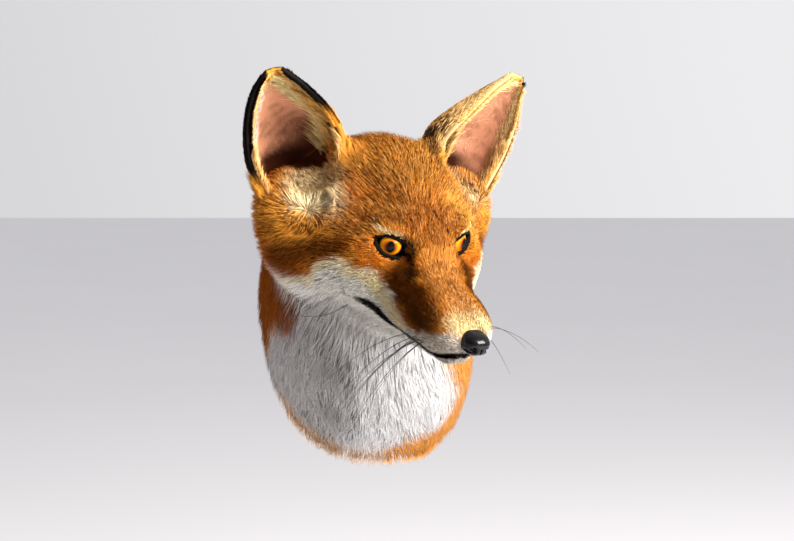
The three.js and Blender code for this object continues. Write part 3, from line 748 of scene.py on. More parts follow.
def add_node(tree, kind, inputs=None, **settings):
    """Adds a node. inputs maps its sockets to values, or to the nodes or sockets that feed them."""
    node = tree.nodes.new(kind)
    for name, value in settings.items():
        setattr(node, name, value)
    for name, value in (inputs or {}).items():
        if isinstance(value, bpy.types.Node):
            value = next(socket for socket in value.outputs if socket.enabled)
        if isinstance(value, bpy.types.NodeSocket):
            tree.links.new(value, node.inputs[name])
        else:
            node.inputs[name].default_value = value
    return node


def rgba(hex_colour):
    return (*[float(value) for value in linear(hex_colour)], 1.0)


def make_material(name, look, attribute=None):
    """A material of one shader. look adds the nodes before it and gives its inputs. It is handed the tree
    and each point's place: in the piece's own space, or as an attribute holds it."""
    material = bpy.data.materials.new(name)
    material.use_nodes = True
    tree = material.node_tree
    tree.nodes.clear()
    if attribute:
        place = add_node(tree, "ShaderNodeAttribute", attribute_name=attribute).outputs["Vector"]
    else:
        place = add_node(tree, "ShaderNodeTexCoord").outputs["Object"]
    shader = add_node(tree, "ShaderNodeBsdfPrincipled", look(tree, place))
    add_node(tree, "ShaderNodeOutputMaterial", {"Surface": shader})
    return material


def grained_tone(tree, grain, darkest, palest):
    """The piece's own tones, made darker and paler by a grain."""
    tone = add_node(tree, "ShaderNodeAttribute", attribute_name="tone")
    shade = add_node(tree, "ShaderNodeMapRange", {"Value": grain, "To Min": darkest, "To Max": palest})
    return add_node(tree, "ShaderNodeVectorMath", {0: tone, 1: shade}, operation="MULTIPLY")


def mottled(tree, place, scale, detail, first, second):
    """Two sRGB colours, clouded into each other. Gives the nodes of the colour and of the clouds."""
    clouds = add_node(tree, "ShaderNodeTexNoise", {"Vector": place, "Scale": scale, "Detail": detail})
    ends = {"Factor": clouds, "A": rgba(first), "B": rgba(second)}
    return add_node(tree, "ShaderNodeMix", ends, data_type="RGBA"), clouds


# Guard hairs and wool: dry keratin, matt with a faint sheen along the hairs.
def guard_hair(tree, place):
    grain = add_node(tree, "ShaderNodeTexNoise", {"Vector": place, "Scale": 900.0, "Detail": 2.0})
    colour = grained_tone(tree, grain, 0.82, 1.14)
    return {"Base Color": colour, "Roughness": 0.62, "Specular IOR Level": 0.03}


# Tanned skin with a nap of underfur: matt, with a fine bump like short flat hairs.
def tanned_skin(tree, place):
    nap = add_node(tree, "ShaderNodeTexNoise", {"Vector": place, "Scale": 1400.0, "Detail": 3.0})
    bump = add_node(tree, "ShaderNodeBump", {"Height": nap, "Strength": 0.5, "Distance": 0.0004})
    colour = grained_tone(tree, nap, 0.8, 1.15)
    return {"Base Color": colour, "Roughness": 0.5, "Specular IOR Level": 0.04, "Normal": bump}


# Painted and lacquered nose: black, wet-looking, finely pebbled.
def lacquered_nose(tree, place):
    pebbles = add_node(tree, "ShaderNodeTexVoronoi", {"Vector": place, "Scale": 1300.0})
    return {
        "Base Color": mottled(tree, place, 260.0, 2.0, "#040405", "#0e0d10")[0],
        "Roughness": 0.24,
        "Specular IOR Level": 0.04,
        "Coat Weight": 0.4,
        "Coat Roughness": 0.08,
        "Normal": add_node(tree, "ShaderNodeBump", {"Height": pebbles, "Strength": 0.8, "Distance": 0.0003}),
    }


# From the pupil to the dark edge, for each share of IRIS_REACH millimetres.
IRIS_STOPS = [
    (0.30, "#4a1605"),
    (0.42, "#8c3f08"),
    (0.56, "#cf8010"),
    (0.68, "#d98e14"),
    (0.76, "#5a2a06"),
    (0.82, "#050303"),
]
IRIS_REACH = 8.0
PUPIL_NARROW = 1.55  # height over width
PUPIL_EDGE = (3.2, 3.7)


# Taxidermist's glass eye: amber painted from behind, black oval pupil, under polished glass.
def painted_glass(tree, place):
    narrowed = {0: place, 1: (PUPIL_NARROW, 1.0, 0.0)}
    from_pupil = add_node(tree, "ShaderNodeVectorMath", narrowed, operation="MULTIPLY")
    oval = add_node(tree, "ShaderNodeVectorMath", {0: from_pupil}, operation="LENGTH")
    radius = add_node(tree, "ShaderNodeVectorMath", {0: place}, operation="LENGTH")
    fibres = add_node(tree, "ShaderNodeTexNoise", {"Vector": place, "Scale": 1.3, "Detail": 4.0})
    wobble = add_node(tree, "ShaderNodeMath", {0: fibres, 1: 0.16, 2: -0.08}, operation="MULTIPLY_ADD")
    scaled = {0: radius.outputs["Value"], 1: 1 / IRIS_REACH}
    share = add_node(tree, "ShaderNodeMath", scaled, operation="MULTIPLY")
    reach = add_node(tree, "ShaderNodeMath", {0: share, 1: wobble}, operation="ADD")
    amber = add_node(tree, "ShaderNodeValToRGB", {"Fac": reach})
    stops = amber.color_ramp.elements
    while len(stops) < len(IRIS_STOPS):
        stops.new(0.5)
    for stop, (position, colour) in zip(stops, IRIS_STOPS):
        stop.position = position
        stop.color = rgba(colour)
    edge = {"Value": oval.outputs["Value"], "From Min": PUPIL_EDGE[0], "From Max": PUPIL_EDGE[1]}
    outside = add_node(tree, "ShaderNodeMapRange", edge)
    ends = {"Factor": outside, "A": (0.002, 0.002, 0.003, 1), "B": amber}
    return {
        "Base Color": add_node(tree, "ShaderNodeMix", ends, data_type="RGBA"),
        "Roughness": 0.5,
        "Specular IOR Level": 0.0,
        "Coat Weight": 0.22,
        "Coat Roughness": 0.01,
    }


# Raw birch plywood: pale, with long grain and darker plies at its edge.
def birch_plywood(tree, place):
    upright = add_node(tree, "ShaderNodeMapping", {"Vector": place, "Scale": (1.0, 1.0, 0.08)})
    wood, grain = mottled(tree, upright.outputs[0], 420.0, 5.0, "#b98f57", "#dcbd8a")
    waves = {"Vector": place, "Scale": 130.0, "Distortion": 0.3}
    plies = add_node(tree, "ShaderNodeTexWave", waves, bands_direction="Y")
    ends = {"Factor": 0.18, "A": wood, "B": plies}
    return {
        "Base Color": add_node(tree, "ShaderNodeMix", ends, data_type="RGBA", blend_type="MULTIPLY"),
        "Roughness": 0.72,
        "Normal": add_node(tree, "ShaderNodeBump", {"Height": grain, "Strength": 0.3, "Distance": 0.0003}),
    }


# Zinc-plated mild steel: bright grey, slightly mottled.
def zinc_plate(tree, place):
    colour = mottled(tree, place, 500.0, 3.0, "#8f959b", "#c4c8cc")[0]
    return {"Base Color": colour, "Metallic": 1.0, "Roughness": 0.34}


# Whiskers: stiff dark horn, half glossy.
def whisker_horn(tree, place):
    return {"Base Color": mottled(tree, place, 60.0, 2.0, "#0c0908", "#241d1a")[0], "Roughness": 0.4}


# Matt studio paper: off-white, with the faintest mottle.
def studio_paper(tree, place):
    return {"Base Color": mottled(tree, place, 2.0, 2.0, "#f2f1f4", "#f6f5f8")[0], "Roughness": 0.9}


# ---------------- skin
FLESH_NODES = ("head", "muzzle", "lower_jaw", "neck", "ear_right", "ear_left")


def finish_piece(piece, slot, *nodes):
    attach(piece, "root")
    if nodes:
        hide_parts(*nodes)


SKIN_LINES = [
    graded_lines(-102, 102, [(-40, 40, 0.95), (-102, -40, 1.35), (40, 102, 1.35)]),
    graded_lines(-205, 76, [(-16, 76, 0.95), (-92, -44, 1.35), (-44, -16, 1.9)]),
    graded_lines(-215, 90, [(-52, 15, 0.95), (15, 90, 1.35), (-70, -52, 1.9)]),
]
skin_places, skin_quads = field_mesh(skin_field, SKIN_LINES)
skin_row = to_row(skin_places)
skin_quads = turned_outwards(skin_row, skin_quads)
tanned = make_material("tanned_skin", tanned_skin)
skin = new_piece("skin", skin_row, skin_quads, tanned, skin_marks(skin_places))
finish_piece(skin, "fur_russet", *FLESH_NODES)


# ---------------- coat
LAYERS = [2.3, 3.1, 4.3, 4.7, 6.0]  # locks over each place, for each of these lengths
LAYER_LENGTHS = [3, 6, 10, 18, 30]
LOCK_AHEAD = [-90, -60, -35, -12, 8, 35, 66]
LOCK_LENGTHS = [24, 20, 17, 12, 7, 4.8, 3.4]  # on the head, for each distance ahead
NECK_LOCK = 30
WIDTH_LENGTHS = [2.5, 6, 10, 18, 30]
WIDTHS = [0.33, 0.36, 0.39, 0.45, 0.53]


def scattered(places, quads, density):
    """Random places on a mesh of quads, `density` of them for each square millimetre."""
    a, b, c, d = (places[quads[:, k]] for k in range(4))
    halves = [np.cross(b - a, c - a), np.cross(c - a, d - a)]
    area = sum(norm(half) for half in halves) / 2
    count = rng.poisson(area * density((a + b + c + d) / 4))
    face = np.repeat(np.arange(len(quads)), count)
    u, v = rng.random((2, len(face), 1))
    return (a[face] * (1 - u) + b[face] * u) * (1 - v) + (d[face] * (1 - u) + c[face] * u) * v


def lock_length(p, neckness):
    q = folded(p)
    length = np.interp(p[:, 1], LOCK_AHEAD, LOCK_LENGTHS)
    length = length + 6 * smooth(egg(q, [44, -45, -30], RUFF_RADII), 8, -8)
    length = np.minimum(length, 3.6 + 0.45 * np.maximum(norm(q - EYE_MIDDLE) - LID_BARE, 0))
    away = norm(q - WHORL_AT)
    length = length + (4 + 0.7 * away - length) * smooth(away, 20, 10)
    lips = np.where(q[:, 1] > MOUTH_AHEAD[0], np.abs(above_mouth(q)), LIPS_FAR)
    length = np.minimum(length, 1.4 + 0.55 * lips)
    length = np.minimum(length, 8 + 0.8 * np.maximum(egg(q, *EAR_CAVITY), 0))
    return length + (NECK_LOCK - length) * neckness


def lock_width(length):
    return np.interp(length, WIDTH_LENGTHS, WIDTHS)


LOCK_COVERS = 0.6  # the share of its length times width that a tapered lock covers
LID_MARGIN, NOSE_MARGIN, CAVITY_MARGIN, BACK_MARGIN = 1.8, 0.3, 0.8, 2
LIPS_MIDDLE, LIPS_HALF = -0.3, 1.3  # the bare lips, from the line between them
LIPS_END = MOUTH_AHEAD[0] + 6
TOO_DEEP = 1.2  # how much further than the coat's depth below its outline the skin still bears locks
EAR_MARGIN = 2.6  # the body's locks keep this far from an ear's middle layer, which has its own
IN_EAR_BEHIND = -68  # ahead of this an ear's hollow is coated


def root_density(p):
    """How many locks grow on each square millimetre: none on lids, lips, nose, back and in the ears."""
    body, neckness = body_fields(p)
    q = folded(p)
    length = lock_length(p, neckness)
    density = np.interp(length, LAYER_LENGTHS, LAYERS) / (LOCK_COVERS * length * lock_width(length))
    from_ear, t, s, behind = ear_search(q)
    off_lips = np.abs(above_mouth(q) - LIPS_MIDDLE) > LIPS_HALF
    ear_room = egg(q, EAR_CAVITY[0], EAR_CAVITY[1] * EAR_ROOM)
    bare = [
        lid_opening(q) <= LID_MARGIN,
        ~off_lips & (q[:, 1] >= LIPS_END + 4 * drift(q, 3)),
        egg(q, *NOSE_PAD) <= NOSE_MARGIN,
        to_row(p)[:, 1] >= -SKIN_OFF_WALL - BACK_MARGIN,
        egg(q, *EAR_CAVITY) <= CAVITY_MARGIN,
        body <= -coat_depth(p, neckness) - TOO_DEEP,
        (from_ear <= EAR_MARGIN) & ~((t < -0.01) & (behind > 0)),
        (ear_room < 0) & (q[:, 1] < IN_EAR_BEHIND) & (behind < 0),
    ]
    return density * ~np.any(bare, axis=0)


TIPS_OFF_WALL = 0.8


def grown_paths(roots, rings):
    """Each lock's path from its root, along the lie of the coat and out to its tip, and its length."""
    neckness = body_fields(roots)[1]
    depth = coat_depth(roots, neckness)
    length = lock_length(roots, neckness) * rng.uniform(0.75, 1.2, len(roots))
    top = rng.uniform(0.3, 1.0, len(roots)) ** (0.6 - 0.25 * neckness)
    sway = rng.normal(0, 0.07, (len(roots), 3)) + wisps(roots, neckness)
    p, paths = roots, [roots]
    for k in range(1, rings + 1):
        share = k / rings
        normal = unit(slope_of(body_field, p)[1])
        flow = unit(lie_of_coat(p, body_fields(p)[1]) + sway * (0.5 + share))
        flow = unit(flow - normal * dot(flow, normal)[:, None])
        p = p + flow * (length / rings)[:, None]
        here, slope = slope_of(body_field, p)
        level = -depth * (1 - top * share**0.75)
        p = p + unit(slope) * np.clip(level - here, -4, 4)[:, None]
        row = to_row(p)
        row[:, 1] = np.minimum(row[:, 1], -TIPS_OFF_WALL)
        p = to_head(row)
        paths.append(p)
    return np.stack(paths, 1), length


# A lock's width at each of its rings, for each number of rings.
TAPER = {2: [1.0, 0.85], 3: [1.0, 0.95, 0.62], 4: [1.0, 1.0, 0.82, 0.5]}
FLATNESS = 0.5
UV_PATCH = 0.003
TRIANGLES_EACH = 190_000


def lock_faces(rings):
    """A lock's triangles: a three-sided rod of some rings, closed at the root and pointed at the tip."""
    faces = [(0, 2, 1)]
    for low in range(0, 3 * (rings - 1), 3):
        for a, b in ((0, 1), (1, 2), (2, 0)):
            faces += [(low + a, low + b, low + b + 3), (low + a, low + b + 3, low + a + 3)]
    last = 3 * (rings - 1)
    return np.array(faces + [(last + a, last + b, 3 * rings) for a, b in ((0, 1), (1, 2), (2, 0))])


def lock_mesh(paths, width, root_tone, tip_tone, unwrap):
    """Places, triangles, tones and UV corners of many locks. paths is locks by rings and tip by three."""
    count, rings = paths.shape[0], paths.shape[1] - 1
    run = unit(np.gradient(paths, axis=1))
    middle = paths.mean((0, 1))
    outward = paths[:, -1] - paths[:, 0] + 1e-3 * (paths[:, 0] - middle)
    across = unit(np.cross(run, outward[:, None, :]))
    lift = np.cross(across, run)
    half = width[:, None, None] / 2 * np.array(TAPER[rings])[:, None]
    centre = paths[:, :rings]
    sideways, raised = across[:, :rings] * half, lift[:, :rings] * half * 2 * FLATNESS
    ring = np.stack([centre - sideways, centre + sideways, centre + raised], 2)
    places = np.concatenate([ring.reshape(count, rings * 3, 3), paths[:, -1:]], 1).reshape(-1, 3)
    faces = lock_faces(rings)[None] + np.arange(count)[:, None, None] * (3 * rings + 1)
    faces = turned_outwards(places - middle, faces.reshape(-1, 3))
    along = np.append(np.repeat(np.arange(rings) / rings, 3), 1.0)
    tones = root_tone[:, None] + (tip_tone - root_tone)[:, None] * along[None, :, None]
    corner = np.column_stack([np.append(np.tile([0.0, 1.0, 0.5], rings), 0.5), along])
    corners = unwrap[:, None] + (corner[None] - 0.5) * UV_PATCH
    return places, faces, tones.reshape(-1, 3), corners.reshape(-1, 2)[faces.ravel()]


def lock_pieces(name, locks, slot, node):
    """Pieces of coat, as many as the limit on triangles asks. locks: paths, width, tones, unwrap."""
    row = to_row(locks[0].reshape(-1, 3)).reshape(locks[0].shape)
    triangles = len(row) * (6 * (row.shape[1] - 2) + 4)
    parts = math.ceil(triangles / TRIANGLES_EACH)
    for part in range(parts):
        pick = slice(part, None, parts)
        places, faces, tones, corners = lock_mesh(row[pick], *[values[pick] for values in locks[1:]])
        label = name if parts == 1 else f"{name}_{part + 1}"
        finish_piece(new_piece(label, places, faces, FUR, tones, corners), slot, node)


UV_MARGIN = 0.01


def spread_out(uv):
    """Unwrapped places, scaled to fill the UV square but for a margin."""
    low, high = uv.min(0), uv.max(0)
    return UV_MARGIN + (1 - 2 * UV_MARGIN) * (uv - low) / np.maximum(high - low, 1e-6)


def head_unwrap(p):
    """The head's skin, unrolled round its long axis."""
    return spread_out(np.column_stack([np.arctan2(p[:, 0], p[:, 2] + 20), p[:, 1]]))


def neck_unwrap(p):
    """The neck's skin, unrolled round the neck."""
    side, up, out = neck_place(to_row(p))
    return spread_out(np.column_stack([np.arctan2(side, up), out]))


PALE_FLECKS, DARK_FLECKS = 0.28, 0.18  # shares of the brow's locks


def lock_tones(paths, neckness, length):
    """Each lock's colours at root and tip: the markings, uneven as real hair is, with flecks on the brow."""
    seen = (paths[:, -2] + paths[:, -1]) / 2
    seen = lifted_to_coat(seen + rng.normal(0, 0.06, seen.shape) * length[:, None])
    tone = body_marks(seen, neckness)
    tone = tone * np.clip(rng.normal(1, 0.08, (len(seen), 1)), 0.75, 1.25)
    tip = tone * rng.uniform(1.0, 1.2, (len(seen), 1))
    # Roots darker than tips: partly the darker base of each hair, partly painted shade deep in the coat.
    root = tone * rng.uniform(0.7, 0.95, (len(seen), 1))
    q = folded(seen)
    brow = smooth(q[:, 1], 16, 4) * smooth(q[:, 2], -8, 4) * smooth(neckness, 0.6, 0.2)
    pick = rng.random(len(seen))
    pale = (pick < PALE_FLECKS * brow)[:, None]
    dark = (pick > 1 - DARK_FLECKS * brow)[:, None]
    darker = np.where(dark, 0.8 * BROWN + 0.1 * tip, tip)
    tip = np.where(pale, 0.55 * tip + 0.25 * CREAM + 0.2 * GOLD, darker)
    paler = smooth(neckness, 0.2, 0.8)[:, None]
    root = root * (1 - paler) + tone * 0.97 * paler
    return np.clip(root, 0, 0.95), np.clip(tip, 0, 0.95)


FUR = make_material("fox_guard_hair", guard_hair)
# Where the coat is parted into pieces: head millimetres ahead and up, and row millimetres off the wall.
MUZZLE_FROM, JAW_FROM, CROWN_BEHIND, CHEEK_BELOW = 12, -20, -44, -4
NECK_PARTS_AT = -45
roots = scattered(skin_places, skin_quads, lambda p: in_chunks(root_density, p))
neckness_at_root = body_fields(roots)[1]
on_neck = neckness_at_root > 0.5
fore = roots[:, 1] > MUZZLE_FROM
jaw = (above_mouth(folded(roots)) < 0) & (roots[:, 1] > JAW_FROM) & ~on_neck
top = (roots[:, 2] > CHEEK_BELOW) & ~fore & ~jaw & ~on_neck
cheek = ~top & ~fore & ~jaw & ~on_neck
front = to_row(roots)[:, 1] < NECK_PARTS_AT
# [piece, its roots, rings along a lock, material slot, node it covers]
COAT = [
    ("coat_jaw", jaw, 2, "fur_white", "lower_jaw"),
    ("coat_muzzle", fore & ~jaw & ~on_neck, 2, "fur_russet", "muzzle"),
    ("coat_brow", top & (roots[:, 1] > CROWN_BEHIND), 3, "fur_russet", "head"),
    ("coat_crown", top & (roots[:, 1] <= CROWN_BEHIND), 3, "fur_russet", "head"),
    ("coat_cheek_right", cheek & (roots[:, 0] < 0), 3, "fur_russet", "head"),
    ("coat_cheek_left", cheek & (roots[:, 0] >= 0), 3, "fur_russet", "head"),
    ("coat_bib", on_neck & front, 3, "fur_white", "neck"),
    ("coat_neck", on_neck & ~front, 3, "fur_white", "neck"),
]
for piece_name, chosen, rings, slot, node in COAT:
    paths, length = grown_paths(roots[chosen], rings)
    width = lock_width(length) * rng.uniform(0.75, 1.25, len(length))
    tones = lock_tones(paths, neckness_at_root[chosen], length)
    unwrap = (neck_unwrap if node == "neck" else head_unwrap)(roots[chosen])
    lock_pieces(piece_name, [paths, width, *tones, unwrap], slot, node)

# ---------------- coat of the ears
EAR_HEIGHT = 75.0  # from root to tip
EAR_WIDTHS = [40.8, 45.2, 39.6, 28.1, 15.6, 5.3]  # millimetres for each unit of s, from root to tip
FARTHEST_T = 1.01


# The tones of a lock's root and tip, for t and s on the ear and the hand of the ear: -1 right, 1 left.
# Each of these gives roots darker than tips, partly as painted shade deep in the coat.
def ear_back_tones(t, s, hand):
    gold = 1.0 if hand < 0 else 0.35 + 0.6 * smooth(s, -0.75, -0.45) * smooth(s, 0.9, 0.8)
    tone = mix(mix(EAR_CREAM, GOLD, gold * np.ones(len(t))), BLACK, ear_black(t, s, hand))
    if hand > 0:
        smudge = smooth(np.abs(t - 0.14), 0.16, 0.06) * smooth(np.abs(s + 0.75), 0.22, 0.1)
        tone = mix(tone, BROWN, 0.9 * smudge) * 0.85
    return tone * 0.9, tone


def ear_rim_tones(t, s, hand):
    gold = smooth(t, 0.72, 0.95) + 0.5 * smooth(np.abs(s), 0.85, 1.0) + 0.3 * smooth(t, 0.25, 0.0)
    tone = mix(EAR_CREAM, GOLD, np.clip(gold, 0, 1) * 0.8) * (1.0 if hand < 0 else 0.82)
    return tone * 0.85, tone * 1.02


def ear_white_tones(t, s, hand):
    tone = CREAM * 0.3 + WHITE * 0.7 if hand < 0 else 0.5 * (EAR_PINK + EAR_CREAM)
    return tone * 0.8, tone


def ear_wisp_tones(t, s, hand):
    tone = mix(EAR_PINK, CREAM, 0.2 + 0.4 * smooth(t, 0.3, 0.8))
    return tone * 0.8, tone * 1.2


def ear_fringe_tones(t, s, hand):
    tone = mix(CREAM, GOLD, 0.8 * smooth(s, -0.78, -0.88))
    return tone * 0.7, tone * 1.15


# [count, t range, s range, side (1 back, -1 front), lean up and towards the outer edge, rise, length,
# width, tones]
EAR_COAT = [
    (2200, (0.0, 0.95), (-1.0, 1.0), 1, (1.0, 0.0), 1.5, 6.0, 0.55, ear_back_tones),
    (800, (0.0, 0.96), (0.9, 1.05), 1, (0.75, 0.6), 1.6, 4.5, 0.5, ear_back_tones),
    (900, (0.40, 0.96), (-1.06, -0.86), 1, (0.6, -0.7), 1.2, 5.0, 0.5, ear_back_tones),
    (1400, (0.0, 0.95), (0.62, 0.93), -1, (0.9, 0.2), 1.9, 5.0, 0.45, ear_rim_tones),
    (500, (0.02, 0.86), (0.52, 0.64), -1, (0.8, -0.5), 1.0, 4.0, 0.35, ear_white_tones),
    (900, (0.72, 0.96), (-0.94, 0.94), -1, (0.9, 0.3), 1.8, 6.0, 0.5, ear_rim_tones),
    (900, (0.0, 0.93), (-0.92, -0.75), -1, (0.95, 0.1), 1.9, 7.0, 0.5, ear_rim_tones),
    (900, (0.38, 0.96), (-1.03, -0.9), -1, (0.6, -0.8), 2.4, 4.5, 0.5, ear_back_tones),
    (1000, (0.0, 0.95), (0.9, 1.02), -1, (0.6, 0.9), 2.6, 4.2, 0.5, ear_back_tones),
    (400, (0.15, 0.8), (-0.5, 0.5), -1, (0.9, 0.2), 1.0, 5.0, 0.24, ear_wisp_tones),
    (350, (-0.08, 0.3), (0.8, 1.15), -1, (0.9, 0.1), 5.0, 9.0, 0.5, ear_rim_tones),
    (350, (-0.08, 0.3), (-1.15, -0.85), -1, (0.9, -0.1), 5.0, 9.0, 0.5, ear_rim_tones),
    (200, (-0.08, 0.08), (0.85, 1.1), 1, (0.95, -0.1), 4.0, 7.0, 0.5, ear_back_tones),
    (200, (-0.08, 0.2), (-1.1, -0.85), 1, (0.95, 0.0), 4.0, 8.0, 0.5, ear_back_tones),
]
EAR_FRINGE = [
    (850, (0.04, 0.55), (-0.92, -0.72), -1, (0.75, 0.6), 6.0, 19.0, 0.5, ear_fringe_tones),
    (850, (0.45, 0.86), (-0.92, -0.6), -1, (0.45, 0.9), 3.5, 13.0, 0.5, ear_fringe_tones),
]


def ear_locks(hand, rings, count, t_range, s_range, facing, lean, rise, length, width, tones):
    """Locks rooted on one ear, within ranges of t and s."""
    t, s = rng.uniform(*t_range, count), rng.uniform(*s_range, count)
    if hand > 0 and facing < 0:
        s = np.where(s > 0.5, 1 - 0.4 * (1 - s), s)
    reach = length * rng.uniform(0.7, 1.25, count)
    up = lean[0] + rng.normal(0, 0.1, count)
    out = lean[1] + rng.normal(0, 0.2, count) + 0.25 * drift(np.column_stack([t * 60, s * 25, t * 0]), 8)
    reach = np.minimum(reach, np.maximum(FARTHEST_T - t, 0.015) * EAR_HEIGHT / np.maximum(up, 0.2))
    across = np.interp(t, np.linspace(0, 1, len(EAR_WIDTHS)), EAR_WIDTHS)
    top = rise * rng.uniform(0.4, 1.0, count)
    paths = []
    for share in np.linspace(0, 1, rings + 1):
        moved = reach * share
        lift = facing * (EAR_HALF_THICK - 0.3 + top * share**0.8)
        place = ear_place(t + up * moved / EAR_HEIGHT, s + out * moved / across, lift)
        paths.append(place * [hand, 1, 1])
    root, tip = tones(t, s, hand)
    uneven = np.clip(rng.normal(1, 0.13, (count, 1)), 0.6, 1.35)
    half = 0.48 * (s + 1) / 2 + (0.5 if facing < 0 else 0) + UV_MARGIN
    unwrap = np.column_stack([half, UV_MARGIN + (1 - 2 * UV_MARGIN) * t])
    width = width * rng.uniform(0.75, 1.25, count)
    return np.stack(paths, 1), width, root * uneven, np.clip(tip * uneven, 0, 0.95), unwrap


for hand, label in ((-1, "right"), (1, "left")):
    for piece_name, rings, rows in (("coat_ear", 2, EAR_COAT), ("fringe_ear", 4, EAR_FRINGE)):
        batches = [ear_locks(hand, rings, *row) for row in rows]
        joined = [np.concatenate(values) for values in zip(*batches)]
        lock_pieces(f"{piece_name}_{label}", joined, "fur_cream", f"ear_{label}")


# ---------------- glass eyes
CORNEA_BULGE = 0.7
CORNEA_ANGLE = math.radians(48)
BACK_OF_EYE = 40  # far past the iris, so that no second pupil shows behind


def glass_eye(side, label):
    """A ball with a slightly swollen cornea. iris_place holds millimetres right and up across the iris."""
    rings, segments = 40, 64
    turn = np.arange(segments) / segments * 2 * math.pi
    a, b = pairs_of(np.linspace(0, math.pi, rings + 1)[1:-1], turn)
    bulge = CORNEA_BULGE * np.clip(1 - (a / CORNEA_ANGLE) ** 2, 0, 1) ** 2
    radius = EYE_RADIUS - EYE_GAP + bulge
    local = np.column_stack([np.sin(a) * np.cos(b), np.sin(a) * np.sin(b), np.cos(a)]) * radius[:, None]
    local = np.vstack([local, [0, 0, EYE_RADIUS + CORNEA_BULGE], [0, 0, -EYE_RADIUS]])
    mirror = np.array([side, 1, 1])
    gaze, up = GAZE * mirror, np.array([0, 0, 1.0])
    right = unit(np.cross(gaze, up))
    up = np.cross(right, gaze)
    places = to_row(EYE_CENTRE * mirror + local @ np.array([right, up, gaze]))
    last = (rings - 2) * segments
    north, south = len(local) - 2, len(local) - 1
    faces = []
    for j in range(segments):
        k = (j + 1) % segments
        faces += [(north, k, j), (south, last + j, last + k)]
        for low in range(0, last, segments):
            a, b, c, d = low + j, low + k, low + segments + k, low + segments + j
            faces += [(a, b, c), (a, c, d)]
    faces = turned_outwards(places - places.mean(0), np.array(faces))
    piece = new_piece(f"glass_eye_{label}", places, faces, EYE_GLASS)
    layer = piece.data.attributes.new("iris_place", "FLOAT_VECTOR", "POINT")
    flat = local.copy()
    flat[:, 2] = np.where(local[:, 2] < 0, BACK_OF_EYE, 0)
    layer.data.foreach_set("vector", flat.astype(np.float32).ravel())
    finish_piece(piece, "eye_glass", f"eye_{label}")


EYE_GLASS = make_material("glass_eye", painted_glass, "iris_place")
glass_eye(-1, "right")
glass_eye(1, "left")

# ---------------- nose
NOSE_CELL, NOSE_MOVE = 0.5, 0.4
NOSE_LINES = [np.arange(low, high, NOSE_CELL) for low, high in ((-10, 10.5), (54, 77), (-33, -16))]
nose_places, nose_quads = field_mesh(nose_field, NOSE_LINES, NOSE_MOVE)
nose_row = to_row(nose_places)
nose_quads = turned_outwards(nose_row - nose_row.mean(0), nose_quads)
lacquer = make_material("lacquered_nose", lacquered_nose)
finish_piece(new_piece("nose_leather", nose_row, nose_quads, lacquer), "nose_leather", "nose")

# ---------------- whiskers
# Root, tip and droop in head millimetres; the right side's are seen spread against the bib.
WHISKERS = [
    ([-16, 43, -35], [-50, 22, -94], 8),
    ([-16, 41, -35], [-44, 18, -104], 9),
    ([-17, 39, -35], [-47, 20, -100], 6),
    ([-15, 42, -36], [-39, 24, -106], 7),
    ([-17, 40, -34], [-53, 18, -97], 9),
    ([-15, 39, -37], [-40, 24, -84], 6),
    ([-17, 37, -34], [-54, 10, -82], 7),
    ([-16, 46, -33], [-36, 36, -76], 5),
    ([15, 42, -33], [62, 36, -52], 8),
    ([16, 40, -35], [52, 40, -66], 9),
    ([15, 45, -31], [58, 52, -44], 7),
    ([-39, -6, -40], [-70, -20, -52], -5),
]
WHISKER_RADIUS = 0.26


WHISKER_STEPS = 14


def whisker_tree():
    """Tapered tubes of horn round the paths handed in."""
    tree = bpy.data.node_groups.new("whiskers_from_paths", "GeometryNodeTree")
    for name, kind in (("Geometry", "Geometry"), ("Radius", "Float"), ("Horn", "Material")):
        tree.interface.new_socket(name, in_out="INPUT", socket_type=f"NodeSocket{kind}")
    tree.interface.new_socket("Geometry", in_out="OUTPUT", socket_type="NodeSocketGeometry")
    given = add_node(tree, "NodeGroupInput").outputs
    path = add_node(tree, "GeometryNodeMeshToCurve", {"Mesh": given["Geometry"]})
    along = add_node(tree, "GeometryNodeSplineParameter")
    taper = add_node(tree, "ShaderNodeMapRange", {"Value": along, "To Min": 1.0, "To Max": 0.25})
    tapered = add_node(tree, "GeometryNodeSetCurveRadius", {"Curve": path, "Radius": taper})
    six_sided = {"Resolution": 6, "Radius": given["Radius"]}
    outline = add_node(tree, "GeometryNodeCurvePrimitiveCircle", six_sided)
    swept = {"Curve": tapered, "Profile Curve": outline, "Scale": taper, "Fill Caps": True}
    tube = add_node(tree, "GeometryNodeCurveToMesh", swept)
    real = add_node(tree, "GeometryNodeRealizeInstances", {"Geometry": tube})
    horn = add_node(tree, "GeometryNodeSetMaterial", {"Geometry": real, "Material": given["Horn"]})
    add_node(tree, "NodeGroupOutput", {0: horn})
    return tree


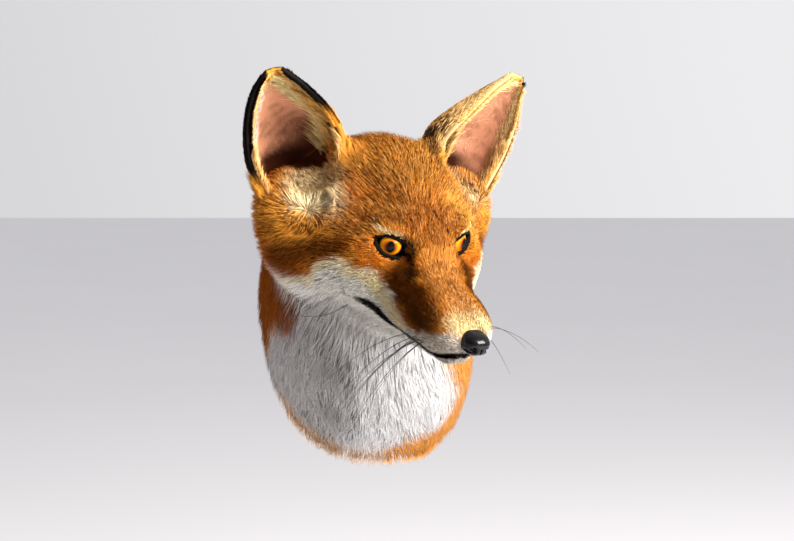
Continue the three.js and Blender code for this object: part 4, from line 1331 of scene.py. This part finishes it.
def whiskers():
    places, edges = [], []
    for root, tip, droop in WHISKERS:
        t = np.linspace(0, 1, WHISKER_STEPS)[:, None]
        line = np.array(root) * (1 - t) + np.array(tip) * t
        row = to_row(line) + np.array([0, 0, 1.0]) * (droop * 4 * t * (1 - t) * (1 - 0.3 * t))
        first = len(places)
        places += row.tolist()
        edges += [(first + k, first + k + 1) for k in range(WHISKER_STEPS - 1)]
    mesh = bpy.data.meshes.new("whisker_paths")
    mesh.from_pydata((np.array(places) * MM).tolist(), edges, [])
    paths = new_object("whisker_paths", mesh)
    modifier = paths.modifiers.new("tubes", "NODES")
    modifier.node_group = whisker_tree()
    items = modifier.node_group.interface.items_tree
    sockets = {item.name: item.identifier for item in items if item.in_out == "INPUT"}
    modifier[sockets["Radius"]] = WHISKER_RADIUS * MM
    modifier[sockets["Horn"]] = make_material("whisker_horn", whisker_horn)
    bpy.context.view_layer.update()
    evaluated = paths.evaluated_get(bpy.context.evaluated_depsgraph_get())
    piece = new_object("whiskers", bpy.data.meshes.new_from_object(evaluated))
    bpy.data.objects.remove(paths)
    finish_piece(piece, "nose_leather")


whiskers()

# ---------------- backboard and hanger
plywood = make_material("birch_plywood", birch_plywood)
zinc = make_material("zinc_plated_steel", zinc_plate)
for node, material in (("backboard", plywood), ("hanger", zinc), ("brad_right", zinc), ("brad_left", zinc)):
    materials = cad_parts[node].data.materials
    materials.clear()
    materials.append(material)


# ---------------- floor, light and camera
FLOOR_Z, FLOOR_HALF = -0.42, 9
FLOOR_CORNERS = [(-1, -1), (1, -1), (1, 1), (-1, 1)]
floor_places = np.array([[x * FLOOR_HALF, y * FLOOR_HALF, FLOOR_Z] for x, y in FLOOR_CORNERS])
paper = make_material("studio_paper", studio_paper)
floor = new_piece("floor", floor_places / MM, np.array([[0, 1, 2, 3]]), paper)

# The studio is brightest to the right and behind, as beside a large window, and dimmer to the left.
world = bpy.data.worlds.new("studio")
bpy.context.scene.world = world
world.use_nodes = True
sky = world.node_tree
towards_light = {0: add_node(sky, "ShaderNodeTexCoord").outputs["Generated"], 1: (0.36, 0.24, 0.1)}
share = add_node(sky, "ShaderNodeVectorMath", towards_light, operation="DOT_PRODUCT")
glow = add_node(sky, "ShaderNodeMath", {0: share.outputs["Value"], 1: 0.6}, operation="ADD")
background = sky.nodes["Background"]
background.inputs["Color"].default_value = rgba("#f6f5f7")
sky.links.new(glow.outputs[0], background.inputs["Strength"])

LAMP_PLACE, LAMP_TARGET = Vector((0.95, -0.75, 0.55)), Vector((0.0, -0.09, 0.02))
LAMP_SIZE, LAMP_POWER = 0.7, 56
lamp_data = bpy.data.lights.new("window", "AREA")
lamp_data.energy, lamp_data.size, lamp_data.color = LAMP_POWER, LAMP_SIZE, linear("#fffaf2")
lamp = new_object("window", lamp_data)
lamp.location = LAMP_PLACE
lamp.rotation_euler = (LAMP_TARGET - lamp.location).to_track_quat("-Z", "Y").to_euler()

CAMERA_TARGET = Vector((0.0181, -0.132, 0.0455))
CAMERA_DISTANCE = 0.900
CAMERA_RISE = math.radians(5)
camera_data = bpy.data.cameras.new("camera")
camera_data.lens, camera_data.sensor_width = 72, 36
camera = new_object("camera", camera_data)
back = Vector((0, -math.cos(CAMERA_RISE), math.sin(CAMERA_RISE)))
camera.location = CAMERA_TARGET + back * CAMERA_DISTANCE
camera.rotation_euler = (-back).to_track_quat("-Z", "Y").to_euler()
bpy.context.scene.camera = camera
bpy.context.scene.view_settings.view_transform = "Standard"
